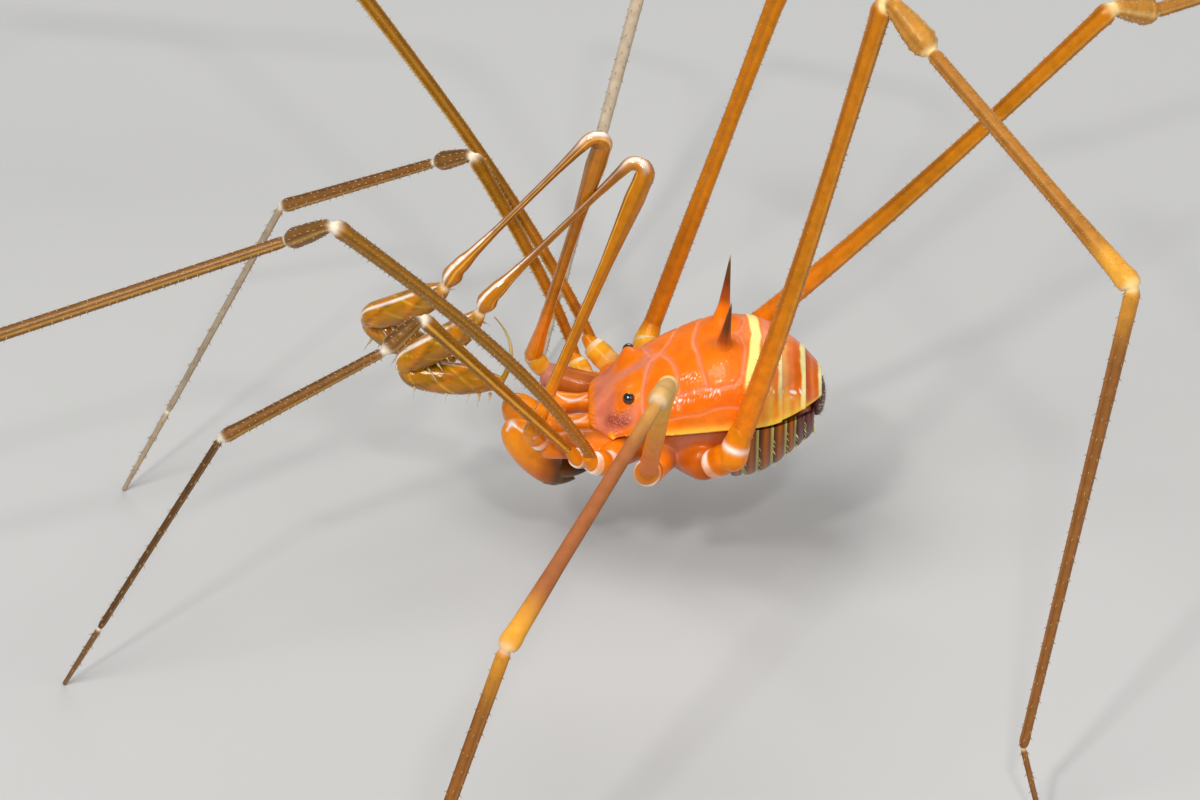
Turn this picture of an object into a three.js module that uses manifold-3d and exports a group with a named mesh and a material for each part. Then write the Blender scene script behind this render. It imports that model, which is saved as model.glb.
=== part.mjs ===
// A long-palped harvestman of the armoured tropical kind, standing still at life size.
// Millimetres, +Z up. The head looks along -X and the animal's left side is -Y.
// The origin lies on the floor, below the middle of the animal's bounding box.
import * as THREE from "three";
import { mergeVertices } from "three/addons/utils/BufferGeometryUtils.js";
import Module from "manifold-3d";

const wasm = await Module();
wasm.setup();

// How the body stands: its own middle above the floor, and its roll towards the left side.
const BODY_HEIGHT = 7.5;
const BODY_ROLL = 3;

// Clear gap kept between neighbouring pieces.
const GAP = 0.15;

// Sides of a round limb, of a ball, and of a small spine.
const LIMB_SIDES = 8;
const BALL_SIDES = 12;
const SPINE_SIDES = 5;

// The back shield and the belly: position along the body, half width, rim height,
// top height and belly height, read from head to tail.
const BODY_STATIONS = [
  { x: -3.7, half: 1.35, rim: 0.0, top: 0.45, belly: -0.75 },
  { x: -2.9, half: 1.65, rim: 0.12, top: 1.05, belly: -1.2 },
  { x: -2.1, half: 1.8, rim: 0.27, top: 1.68, belly: -1.45 },
  { x: -1.3, half: 2.0, rim: 0.45, top: 2.2, belly: -1.65 },
  { x: -0.3, half: 2.2, rim: 0.72, top: 2.72, belly: -1.9 },
  { x: 0.6, half: 2.28, rim: 0.9, top: 2.95, belly: -2.05 },
  { x: 1.5, half: 2.2, rim: 0.9, top: 2.92, belly: -2.0 },
  { x: 2.3, half: 1.98, rim: 0.88, top: 2.68, belly: -1.65 },
  { x: 3.0, half: 1.62, rim: 0.92, top: 2.3, belly: -1.05 },
  { x: 3.72, half: 1.15, rim: 0.95, top: 1.7, belly: -0.35 },
];
const SHIELD_END = 2.42;
const SHIELD_UNDERSIDE = 0.12;
const BELLY_INSET = 0.12;
const BELLY_END = 3.45;

// Paired spines on the third area of the back.
const BACK_SPINE = { x: 0.5, y: 0.66, length: 2.35, splay: 12, lean: 6, radius: 0.52 };

// Eyes stand wide apart on low swellings, with no common mound.
const EYE = { centre: [-2.42, 1.2, 1.28], radius: 0.2 };
const EYE_SWELLING = { centre: [-2.42, 0.92, 1.2], radius: 0.48 };

// Legs one to four. The trochanter is a barrel from its root to the ball in which the leg
// stands; lengths run from joint to joint.
const LEGS = {
  1: {
    root: [-3.84, 2.0, -0.46],
    ball: [-4.03, 2.34, -0.22],
    radius: 0.34,
    femur: { length: 7.5, from: 0.25, to: 0.26 },
    patella: { length: 1.5, from: 0.25, to: 0.28 },
    tibia: { length: 5.8, from: 0.25, to: 0.26 },
    metatarsus: { length: 8.4, from: 0.25, to: 0.25 },
  },
  2: {
    root: [-3.24, 2.4, -0.3],
    ball: [-3.5, 2.85, 0.0],
    radius: 0.4,
    femur: { length: 16.0, from: 0.25, to: 0.28 },
    patella: { length: 2.0, from: 0.26, to: 0.3 },
    tibia: { length: 13.8, from: 0.25, to: 0.27 },
    metatarsus: { length: 16.2, from: 0.25, to: 0.25 },
  },
  3: {
    root: [-1.76, 2.86, -0.3],
    ball: [-1.85, 3.25, -0.04],
    radius: 0.46,
    femur: { length: 12.1, from: 0.26, to: 0.3 },
    patella: { length: 1.9, from: 0.28, to: 0.32 },
    tibia: { length: 8.9, from: 0.26, to: 0.3 },
    metatarsus: { length: 11.4, from: 0.25, to: 0.25 },
  },
  4: {
    root: [0.24, 2.48, -0.34],
    ball: [0.85, 2.75, 0.3],
    radius: 0.48,
    femur: { length: 16.4, from: 0.32, to: 0.29 },
    patella: { length: 2.0, from: 0.3, to: 0.42 },
    tibia: { length: 10.0, from: 0.27, to: 0.36 },
    metatarsus: { length: 16.5, from: 0.25, to: 0.25 },
  },
};
const TARSUS_TIP_RADIUS = 0.14;

// Thighs that are gently bowed: which way the bow goes, and how high it is.
const BOWS = {
  left_2: { way: [0.67, 0.45, 0.59], height: 0.52 },
  left_4: { way: [0.95, 0.18, 0.24], height: 0.18 },
  right_1: { way: [0.9, 0.26, 0.35], height: 0.2 },
  right_2: { way: [0.82, 0.35, 0.46], height: 0.44 },
  right_4: { way: [0.61, -0.48, -0.63], height: 0.22 },
};

// The pose: each segment's heading, in degrees outwards from straight ahead, and its rise
// above the horizontal. A foot is where the last segment reaches the floor.
const POSE = {
  left: {
    1: { femur: [6, 50], patella: [32, -26], tibia: [11, -27], metatarsus: [3, -61], tarsus: [3, -62] },
    2: { femur: [35, 54], patella: [-32, -34], tibia: [9, -16], metatarsus: [-17, -46], tarsus: [-17, -56] },
    3: { femur: [94, 50], patella: [79, 19], tibia: [57, -25], metatarsus: [17, -72], tarsus: [17, -73] },
    4: {
      femur: [-159, 73],
      patella: [136, -25],
      tibia: [127, -19],
      metatarsus: [32, -79],
      tarsus: [135, -71],
    },
  },
  right: {
    1: { femur: [39, 55], patella: [28, -26], tibia: [14, -27], metatarsus: [-17, -61], tarsus: [-18, -61] },
    2: { femur: [39, 44], patella: [20, 36], tibia: [18, -10], metatarsus: [-3, -57], tarsus: [-3, -62] },
    3: { femur: [126, 53], patella: [83, -2], tibia: [59, -31], metatarsus: [-58, -61], tarsus: [-58, -64] },
    4: {
      femur: [167.6, 42.3],
      patella: [141, -25],
      tibia: [155, 3],
      metatarsus: [181, -66],
      tarsus: [181, -71],
    },
  },
};

// Pedipalps, raptorial: long thin femur and patella, then a swollen, spined tibia and tarsus
// that close on each other like a jack-knife. Radii are read from the near end to the far end.
const PALP = {
  ball: { centre: [-5.44, 1.89, 0.49], radius: 0.36 },
  femur: { length: 9.2, radii: [0.25, 0.22, 0.22, 0.22, 0.24, 0.31, 0.27] },
  patella: { length: 6.9, radii: [0.25, 0.25, 0.25, 0.32] },
  tibia: { length: 3.2, radii: [0.3, 0.48, 0.5, 0.36], sag: 0.2 },
  tarsus: { length: 3.0, radii: [0.36, 0.5, 0.46, 0.22] },
  claw: { radius: 0.16, bulge: 0.42 },
  spines: { count: 4, length: 0.62, radius: 0.19 },
};
const PALP_POSE = {
  left: {
    femur: [-135.6, 59.2],
    patella: [16.9, -41],
    tibia: [1.4, -42.6],
    tarsus: [174.6, -6.7],
    claw: { way: [-78, 63], length: 2.1 },
  },
  right: {
    femur: [-158.5, 76.2],
    patella: [-11, -45.7],
    tibia: [18, -37.3],
    tarsus: [-180, -34],
    claw: { way: [110, 84], length: 2.1 },
  },
};

// Chelicerae: a short basal segment and a large swollen hand with two fingers.
const CHELICERA = {
  base: { from: [-3.3, 0.5, -0.3], to: [-4.85, 0.55, -0.42], radii: [0.44, 0.36, 0.42] },
  hand: { centre: [-5.45, 0.61, -1.46], long: 1.55, high: 0.86, wide: 0.53, tilt: 57 },
  fingers: [
    { from: [-4.75, 0.6, -2.0], to: [-3.75, 0.45, -2.3] },
    { from: [-4.85, 0.62, -2.35], to: [-3.85, 0.45, -2.66] },
  ],
  fingerRadius: 0.27,
};

// Coxae of the legs and palps, from near the midline to each ball, in the body's frame.
const COXAE = [
  { from: [-3.0, 1.2, -0.5], to: [-5.0, 1.74, -0.22], radius: 0.48 },
  { from: [-2.2, 0.6, -0.7], to: [-3.6, 1.72, -0.5], radius: 0.46 },
  { from: [-1.7, 0.6, -0.8], to: [-3.0, 2.08, -0.4], radius: 0.5 },
  { from: [-0.9, 0.6, -0.9], to: [-1.68, 2.5, -0.45], radius: 0.55 },
  { from: [-0.7, 1.0, -0.85], to: [0.0, 2.2, -0.52], radius: 0.7 },
];

const OPERCULUM = { centre: [3.52, 0, 0.5], radii: [0.27, 0.72, 0.62] };

// Colours in the order: hex colour, roughness.
const FINISHES = {
  shield: [0xf07810, 0.35],
  eye: [0x0a0806, 0.08],
  tergites: [0xf6b24a, 0.4],
  operculum: [0x5a3038, 0.6],
  belly: [0xc4661c, 0.5],
  trochanter: [0xf2b860, 0.4],
  femur: [0xc8781a, 0.4],
  patella: [0xb5691f, 0.5],
  tibia: [0xb86a20, 0.45],
  foot: [0x7a4a26, 0.6],
  palp: [0xd08a1c, 0.25],
  chelicera: [0xf09010, 0.2],
};

function toSolid(geometry) {
  const bare = geometry.clone();
  bare.deleteAttribute("normal");
  bare.deleteAttribute("uv");
  const merged = mergeVertices(bare, 1e-5);
  return new wasm.Manifold(new wasm.Mesh({
    numProp: 3,
    vertProperties: new Float32Array(merged.attributes.position.array),
    triVerts: new Uint32Array(merged.index.array),
  }));
}

// The largest closed surface of a solid, so that a sealed hollow or a loose scrap goes.
function largest(solid) {
  const pieces = solid.decompose();
  return pieces.reduce((best, piece) => (piece.volume() > best.volume() ? piece : best));
}

function toGeometry(solid) {
  const mesh = largest(solid).getMesh();
  const geometry = new THREE.BufferGeometry();
  geometry.setAttribute("position", new THREE.BufferAttribute(new Float32Array(mesh.vertProperties), 3));
  geometry.setIndex(new THREE.BufferAttribute(new Uint32Array(mesh.triVerts), 1));
  geometry.computeVertexNormals();
  return geometry;
}

function finish(name) {
  const [color, roughness] = FINISHES[name];
  return new THREE.MeshStandardMaterial({ color, roughness, metalness: 0 });
}

const part = new THREE.Group();

function addNode(name, solid, finishName) {
  const mesh = new THREE.Mesh(toGeometry(solid), finish(finishName));
  mesh.name = name;
  part.add(mesh);
}

function cut(solid, cutters) {
  return cutters.reduce((rest, cutter) => rest.subtract(cutter), solid);
}

function join(solids) {
  return solids.reduce((whole, solid) => whole.add(solid));
}

function vector([x, y, z]) {
  return new THREE.Vector3(x, y, z);
}

// Unit vector for a heading outwards from straight ahead and a rise, in degrees.
function direction([heading, rise], side) {
  const h = THREE.MathUtils.degToRad(heading);
  const r = THREE.MathUtils.degToRad(rise);
  return new THREE.Vector3(-Math.cos(h) * Math.cos(r), side * Math.sin(h) * Math.cos(r), Math.sin(r));
}

// Places a point of the body's own frame on the standing animal.
function standing(point) {
  const forward = new THREE.Vector3(1, 0, 0);
  const turned = point.clone().applyAxisAngle(forward, THREE.MathUtils.degToRad(BODY_ROLL));
  return turned.add(new THREE.Vector3(0, 0, BODY_HEIGHT));
}

function standGeometry(geometry) {
  geometry.rotateX(THREE.MathUtils.degToRad(BODY_ROLL));
  geometry.translate(0, 0, BODY_HEIGHT);
  return geometry;
}

// A round limb from start to end. The radii lie at even steps, and the far end is a half ball.
// With a bow the limb swings out between its ends, most of all in its near half.
function limb(start, end, radii, grow = 0, sides = LIMB_SIDES, bow = null) {
  const axis = end.clone().sub(start);
  const length = axis.length();
  const points = [new THREE.Vector2(0, -grow)];
  radii.forEach((radius, index) => {
    const along = index === 0 ? -grow : (length * index) / (radii.length - 1);
    points.push(new THREE.Vector2(radius + grow, along));
  });
  const cap = radii[radii.length - 1] + grow;
  for (const angle of [30, 60]) {
    const turn = THREE.MathUtils.degToRad(angle);
    points.push(new THREE.Vector2(cap * Math.cos(turn), length + cap * Math.sin(turn)));
  }
  points.push(new THREE.Vector2(0, length + cap));
  const geometry = new THREE.LatheGeometry(points, sides);
  const turn = new THREE.Quaternion().setFromUnitVectors(new THREE.Vector3(0, 1, 0), axis.normalize());
  if (bow) {
    const way = vector(bow.way).applyQuaternion(turn.clone().invert());
    const position = geometry.attributes.position;
    for (let i = 0; i < position.count; i += 1) {
      const t = THREE.MathUtils.clamp(position.getY(i) / length, 0, 1);
      const point = new THREE.Vector3().fromBufferAttribute(position, i);
      point.addScaledVector(way, bow.height * Math.sin(Math.PI * t ** 0.75));
      position.setXYZ(i, point.x, point.y, point.z);
    }
  }
  geometry.applyQuaternion(turn);
  geometry.translate(start.x, start.y, start.z);
  return toSolid(geometry);
}

// Radii at seven even steps from one end's radius to the other's.
function evenRadii(from, to) {
  return [0, 1, 2, 3, 4, 5, 6].map((step) => THREE.MathUtils.lerp(from, to, step / 6));
}

function ball(centre, radius, grow = 0) {
  const geometry = new THREE.SphereGeometry(radius + grow, BALL_SIDES, BALL_SIDES / 2 + 2);
  geometry.translate(centre.x, centre.y, centre.z);
  return toSolid(geometry);
}

function spine(root, tip, radius) {
  const axis = tip.clone().sub(root);
  const length = axis.length();
  const profile = [
    new THREE.Vector2(0, 0),
    new THREE.Vector2(radius, 0),
    new THREE.Vector2(radius * 0.55, length * 0.5),
    new THREE.Vector2(0, length),
  ];
  const geometry = new THREE.LatheGeometry(profile, SPINE_SIDES);
  geometry.applyQuaternion(
    new THREE.Quaternion().setFromUnitVectors(new THREE.Vector3(0, 1, 0), axis.normalize()),
  );
  geometry.translate(root.x, root.y, root.z);
  return toSolid(geometry);
}

function station(x) {
  const last = BODY_STATIONS.length - 1;
  const index = BODY_STATIONS.findIndex((entry, i) => i === last - 1 || x < BODY_STATIONS[i + 1].x);
  const a = BODY_STATIONS[index];
  const b = BODY_STATIONS[index + 1];
  const t = THREE.MathUtils.clamp((x - a.x) / (b.x - a.x), 0, 1);
  const mix = (key) => THREE.MathUtils.lerp(a[key], b[key], t);
  return { half: mix("half"), rim: mix("rim"), top: mix("top"), belly: mix("belly") };
}

// A unit ball with its poles on X, each point of which is moved by the rule that is given.
function shapedBall(around, along, rule) {
  const geometry = new THREE.SphereGeometry(1, around, along);
  geometry.rotateZ(Math.PI / 2);
  const position = geometry.attributes.position;
  for (let i = 0; i < position.count; i += 1) {
    const u = position.getX(i);
    const ring = Math.hypot(position.getY(i), position.getZ(i));
    const side = ring > 1e-6 ? position.getY(i) / ring : 0;
    const lift = ring > 1e-6 ? position.getZ(i) / ring : 0;
    const { x, y, z } = rule(u, side, lift);
    position.setXYZ(i, x, y, z);
  }
  return toSolid(standGeometry(geometry));
}

function power(value, exponent) {
  return Math.sign(value) * Math.abs(value) ** exponent;
}

// The domed back: full at the front, rounder at the tail, with a flat underside at the rim.
function backSolid(grow) {
  const front = BODY_STATIONS[0].x - grow;
  const rear = BODY_STATIONS[BODY_STATIONS.length - 1].x + grow;
  return shapedBall(28, 24, (u, side, lift) => {
    const x = THREE.MathUtils.lerp(front, rear, (u + 1) / 2);
    const at = station(x);
    const fullness = u < 0 ? 6 : 3.5;
    const k = (1 - Math.abs(u) ** fullness) ** (1 / fullness);
    const drop = SHIELD_UNDERSIDE + grow;
    const height = lift > 0 ? at.top - at.rim + grow : drop;
    return { x, y: (at.half + grow) * k * power(side, 0.85), z: at.rim + height * k * power(lift, 0.95) };
  });
}

function bellySolid() {
  const front = BODY_STATIONS[0].x + BELLY_INSET;
  return shapedBall(20, 16, (u, side, lift) => {
    const x = THREE.MathUtils.lerp(front, BELLY_END, (u + 1) / 2);
    const at = station(x);
    const k = (1 - Math.abs(u) ** 4) ** 0.25;
    const ceiling = at.rim - SHIELD_UNDERSIDE - GAP;
    const z = lift > 0 ? ceiling * k : THREE.MathUtils.lerp(ceiling, at.belly, power(-lift, 0.9)) * k;
    return { x, y: (at.half - BELLY_INSET) * k * power(side, 0.85), z };
  });
}

function coxaSolids(grow) {
  const solids = [];
  for (const side of [-1, 1]) {
    for (const coxa of COXAE) {
      const [from, to] = [mirrored(coxa.from, side), mirrored(coxa.to, side)];
      solids.push(limb(from, to, [coxa.radius, coxa.radius * 0.92], grow, BALL_SIDES));
    }
  }
  return solids;
}

// A point of the body's frame on the side that is asked for, on the standing animal.
function mirrored([x, y, z], side) {
  return standing(new THREE.Vector3(x, side * y, z));
}

function trochanter(number, side, grow = 0) {
  const { root, ball: socket, radius } = LEGS[number];
  const [start, end] = [mirrored(root, side), mirrored(socket, side)];
  return limb(start, end, [radius * 0.9, radius, radius], grow, BALL_SIDES);
}

function palpBall(side) {
  return mirrored(PALP.ball.centre, side);
}

const SIDES = [["left", -1], ["right", 1]];

function buildBody() {
  const back = backSolid(0);
  const toTail = new THREE.Vector3(1, 0, 0);
  const [x, y, z] = toTail.toArray();
  let shield = back.trimByPlane([-x, -y, -z], -SHIELD_END + GAP / 2);
  const tergites = back.trimByPlane([x, y, z], SHIELD_END + GAP / 2);
  const eyeHoles = [];
  for (const [name, side] of SIDES) {
    shield = shield.add(ball(mirrored(EYE_SWELLING.centre, side), EYE_SWELLING.radius));
    const eye = mirrored(EYE.centre, side);
    addNode(`eye_${name}`, ball(eye, EYE.radius), "eye");
    eyeHoles.push(ball(eye, EYE.radius, GAP * 0.6));

    const spineTop = station(BACK_SPINE.x);
    const foot = new THREE.Vector3(BACK_SPINE.x, side * BACK_SPINE.y, spineTop.top - 0.35);
    const splay = THREE.MathUtils.degToRad(BACK_SPINE.splay);
    const lean = THREE.MathUtils.degToRad(BACK_SPINE.lean);
    const up = new THREE.Vector3(Math.sin(lean), side * Math.sin(splay), Math.cos(splay)).normalize();
    const tip = foot.clone().addScaledVector(up, BACK_SPINE.length + 0.3);
    shield = shield.add(backSpine(standing(foot), standing(tip)));
  }
  shield = cut(shield, eyeHoles);
  addNode("scutum", shield, "shield");
  addNode("free_tergites", cut(tergites, [operculum(GAP)]), "tergites");
  addNode("anal_operculum", operculum(0), "operculum");

  let venter = join([bellySolid(), ...coxaSolids(0)]);
  venter = cut(venter, [backSolid(GAP), operculum(GAP)]);
  for (const [name, side] of SIDES) {
    for (const number of [1, 2, 3, 4]) {
      venter = venter.subtract(trochanter(number, side, GAP));
    }
    venter = venter.subtract(ball(palpBall(side), PALP.ball.radius, GAP));
  }
  addNode("venter", venter, "belly");
}

// A flared cone that stands on the back.
function backSpine(root, tip) {
  const axis = tip.clone().sub(root);
  const length = axis.length();
  const steps = [[1, 0], [0.62, 0.18], [0.36, 0.38], [0.2, 0.7], [0, 1]];
  const profile = [new THREE.Vector2(0, 0)];
  for (const [across, along] of steps) {
    profile.push(new THREE.Vector2(BACK_SPINE.radius * across, length * along));
  }
  const geometry = new THREE.LatheGeometry(profile, BALL_SIDES);
  geometry.applyQuaternion(
    new THREE.Quaternion().setFromUnitVectors(new THREE.Vector3(0, 1, 0), axis.normalize()),
  );
  geometry.translate(root.x, root.y, root.z);
  return toSolid(geometry);
}

function operculum(grow) {
  const [rx, ry, rz] = OPERCULUM.radii;
  const geometry = new THREE.SphereGeometry(1, BALL_SIDES, BALL_SIDES / 2 + 2);
  geometry.scale(rx + grow, ry + grow, rz + grow);
  geometry.translate(...OPERCULUM.centre);
  return toSolid(standGeometry(geometry));
}

function buildLeg(sideName, side, number) {
  const leg = LEGS[number];
  const pose = POSE[sideName][number];
  const name = (segment) => `leg_${sideName}_${number}_${segment}`;
  addNode(name("trochanter"), trochanter(number, side), "trochanter");
  let start = mirrored(leg.ball, side);
  let parent = trochanter(number, side, GAP);
  for (const segment of ["femur", "patella", "tibia"]) {
    const { length, from, to } = leg[segment];
    const end = start.clone().addScaledVector(direction(pose[segment], side), length);
    const bow = segment === "femur" ? BOWS[`${sideName}_${number}`] : null;
    const radii = bow ? evenRadii(from, to) : [from, to];
    addNode(name(segment), limb(start, end, radii, 0, LIMB_SIDES, bow).subtract(parent), segment);
    parent = limb(start, end, radii, GAP, LIMB_SIDES, bow);
    start = end;
  }
  const { length, from, to } = leg.metatarsus;
  const ankle = start.clone().addScaledVector(direction(pose.metatarsus, side), length);
  const way = direction(pose.tarsus, side);
  const tip = ankle.clone().addScaledVector(way, ankle.z / -way.z);
  const foot = limb(start, ankle, [from, to]).add(limb(ankle, tip, [to, TARSUS_TIP_RADIUS]));
  addNode(name("foot"), foot.subtract(parent).trimByPlane([0, 0, 1], 0), "foot");
}

// The claw, a thin crescent that bulges the way the tarsus points.
function curvedClaw(root, tip, bulgeWay) {
  const { radius, bulge } = PALP.claw;
  const axis = tip.clone().sub(root);
  const length = axis.length();
  axis.normalize();
  const out = bulgeWay.clone().addScaledVector(axis, -bulgeWay.dot(axis)).normalize();
  const profile = [new THREE.Vector2(0, 0)];
  for (const t of [0, 0.25, 0.5, 0.75]) {
    profile.push(new THREE.Vector2(radius * (1 - 0.7 * t), length * t));
  }
  profile.push(new THREE.Vector2(0, length));
  const geometry = new THREE.LatheGeometry(profile, SPINE_SIDES);
  const position = geometry.attributes.position;
  for (let i = 0; i < position.count; i += 1) {
    const t = position.getY(i) / length;
    position.setX(i, position.getX(i) + bulge * 4 * t * (1 - t));
  }
  geometry.applyMatrix4(new THREE.Matrix4().makeBasis(out, axis, out.clone().cross(axis)));
  geometry.translate(root.x, root.y, root.z);
  return toSolid(geometry);
}

// Two rows of spines along the inner face of a palp segment, long and short by turns.
function rowSpines(start, end, radius, inward, across) {
  const { count, length, radius: base } = PALP.spines;
  const spines = [];
  for (let i = 0; i < count; i += 1) {
    const root = start.clone().lerp(end, (i + 0.8) / (count + 0.5));
    for (const sign of [-1, 1]) {
      const way = inward.clone().addScaledVector(across, sign * 0.8).normalize();
      const reach = radius + length * (i % 2 ? 0.75 : 1);
      spines.push(spine(root, root.clone().addScaledVector(way, reach), base));
    }
  }
  return spines;
}

function buildPalp(sideName, side) {
  const pose = PALP_POSE[sideName];
  const name = (segment) => `palp_${sideName}_${segment}`;
  const centre = palpBall(side);
  const femurWay = direction(pose.femur, side);
  const patellaWay = direction(pose.patella, side);
  const tibiaWay = direction(pose.tibia, side);
  const tarsusWay = direction(pose.tarsus, side);
  const knee = centre.clone().addScaledVector(femurWay, PALP.femur.length);
  const wrist = knee.clone().addScaledVector(patellaWay, PALP.patella.length);
  const hinge = wrist.clone().addScaledVector(tibiaWay, PALP.tibia.length);
  const end = hinge.clone().addScaledVector(tarsusWay, PALP.tarsus.length);

  const femur = limb(centre, knee, PALP.femur.radii).add(ball(centre, PALP.ball.radius));
  const femurGrown = limb(centre, knee, PALP.femur.radii, GAP);
  addNode(name("femur"), femur, "palp");
  const patellaGrown = limb(knee, wrist, PALP.patella.radii, GAP);
  addNode(name("patella"), limb(knee, wrist, PALP.patella.radii).subtract(femurGrown), "palp");

  const across = tibiaWay.clone().cross(tarsusWay).normalize();
  const tibiaInward = across.clone().cross(tibiaWay).normalize();
  const tarsusInward = tarsusWay.clone().cross(across).normalize();
  const tibiaSpines = rowSpines(wrist, hinge, PALP.tibia.radii[1], tibiaInward, across);
  const tarsusSpines = rowSpines(hinge, end, PALP.tarsus.radii[1], tarsusInward, across);
  const clawTip = end.clone().addScaledVector(direction(pose.claw.way, side), pose.claw.length);

  const sag = { way: tibiaInward.toArray(), height: PALP.tibia.sag };
  const tibiaCore = limb(wrist, hinge, PALP.tibia.radii, 0, LIMB_SIDES, sag);
  const tarsusGrown = limb(hinge, end, PALP.tarsus.radii, GAP);
  const tibia = join([tibiaCore, ...tibiaSpines.map((thorn) => thorn.subtract(tarsusGrown))]);
  addNode(name("tibia"), tibia.subtract(patellaGrown), "palp");
  const tibiaGrown = join([limb(wrist, hinge, PALP.tibia.radii, GAP, LIMB_SIDES, sag), ...tibiaSpines]);
  const claw = curvedClaw(end, clawTip, tarsusWay);
  const tarsus = join([limb(hinge, end, PALP.tarsus.radii), ...tarsusSpines, claw]);
  addNode(name("tarsus"), cut(tarsus, [tibiaGrown, patellaGrown]), "palp");
}

function cheliceraHand(side) {
  const { centre, long, high, wide, tilt } = CHELICERA.hand;
  const geometry = new THREE.SphereGeometry(1, 16, 12);
  geometry.rotateZ(Math.PI / 2);
  geometry.scale(long, wide, high);
  geometry.rotateY(THREE.MathUtils.degToRad(tilt));
  geometry.translate(centre[0], side * centre[1], centre[2]);
  return toSolid(standGeometry(geometry));
}

function buildChelicera(sideName, side) {
  const { radii } = CHELICERA.base;
  const from = mirrored(CHELICERA.base.from, side);
  const to = mirrored(CHELICERA.base.to, side);
  const coxae = coxaSolids(GAP);
  const base = limb(from, to, radii, 0, BALL_SIDES);
  const belly = [backSolid(GAP), grownBelly(), ...coxae];
  addNode(`chelicera_${sideName}_base`, cut(base, belly), "chelicera");
  const baseGrown = limb(from, to, radii, GAP, BALL_SIDES);
  const palpJoint = ball(palpBall(side), PALP.ball.radius, GAP);
  const fingers = CHELICERA.fingers.map(({ from: root, to: tip }) => {
    return spine(mirrored(root, side), mirrored(tip, side), CHELICERA.fingerRadius);
  });
  const hand = cut(join([cheliceraHand(side), ...fingers]), [baseGrown, palpJoint, ...belly]);
  addNode(`chelicera_${sideName}_hand`, hand, "chelicera");
}

function grownBelly() {
  const geometry = new THREE.BoxGeometry(3, 3.2, 1.6);
  geometry.translate(BODY_STATIONS[0].x + BELLY_INSET + 1.5 - GAP, 0, -0.7);
  return toSolid(standGeometry(geometry));
}

buildBody();
for (const [sideName, side] of SIDES) {
  buildChelicera(sideName, side);
  buildPalp(sideName, side);
  for (const number of [1, 2, 3, 4]) {
    buildLeg(sideName, side, number);
  }
}

// The box's middle goes over the origin.
const box = new THREE.Box3().setFromObject(part);
const middle = box.getCenter(new THREE.Vector3());
part.position.set(-middle.x, -middle.y, 0);

export default part;
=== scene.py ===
"""An armoured, long-palped harvestman standing at life size, dressed around its solids.

Sizes are in millimetres in the body's own frame (head towards -X, left side -Y, the frame's
middle where the body's middle is), and are set on the standing animal in metres by stand().
"""

import random
from math import acos, pi, radians

import bmesh
import bpy
import numpy as np
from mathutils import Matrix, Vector
from numpy import array, clip, concatenate, cos, interp, linspace, sin, stack, where
from numpy.linalg import norm


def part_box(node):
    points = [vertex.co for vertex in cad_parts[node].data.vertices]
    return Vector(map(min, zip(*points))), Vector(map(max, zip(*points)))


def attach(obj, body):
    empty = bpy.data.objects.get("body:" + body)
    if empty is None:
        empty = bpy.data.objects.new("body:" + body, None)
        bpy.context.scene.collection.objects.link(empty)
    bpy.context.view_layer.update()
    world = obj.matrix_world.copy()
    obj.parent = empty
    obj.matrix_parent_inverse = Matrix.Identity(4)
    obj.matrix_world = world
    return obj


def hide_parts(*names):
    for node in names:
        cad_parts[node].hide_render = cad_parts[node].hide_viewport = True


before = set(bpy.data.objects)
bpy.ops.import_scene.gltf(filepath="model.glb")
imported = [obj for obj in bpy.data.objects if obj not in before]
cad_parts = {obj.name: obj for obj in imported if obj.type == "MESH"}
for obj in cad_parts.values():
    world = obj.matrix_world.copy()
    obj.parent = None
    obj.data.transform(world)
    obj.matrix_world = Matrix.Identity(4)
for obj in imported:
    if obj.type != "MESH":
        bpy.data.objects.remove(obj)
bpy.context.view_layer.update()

MM = 0.001
ROLL = radians(3)
BODY_HEIGHT = 7.5
FULL_TURN = 2 * pi
SIDES = {"left": -1, "right": 1}

# Half width, rim height and top height of the back along the body, from head to tail.
BACK = array(
    [
        (-3.7, 1.35, 0.0, 0.45), (-2.9, 1.65, 0.12, 1.05),
        (-2.1, 1.8, 0.27, 1.68), (-1.3, 2.0, 0.45, 2.2),
        (-0.3, 2.2, 0.72, 2.72), (0.6, 2.28, 0.9, 2.95),
        (1.5, 2.2, 0.9, 2.92), (2.3, 1.98, 0.88, 2.68),
        (3.0, 1.62, 0.92, 2.3), (3.72, 1.15, 0.95, 1.7),
    ]
)
BACK_START, BACK_RUN = -3.7, 7.42
# How far the back's plates are filled in below the rim.
BACK_UNDER = 0.12
# How square the back is across its width, towards its rim and towards its top.
SIDE_POWER, TOP_POWER = 0.85, 0.95
# Where the right eye stands, and how big both are.
EYE, EYE_RADIUS = (-2.42, 1.2, 1.28), 0.2
BELLY = {
    "x": (-3.58, 3.45),
    "depth": [(-3.7, -0.75), (-2.1, -1.45), (-0.3, -1.9), (1.5, -2.0), (3.4, -0.6)],
}

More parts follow.
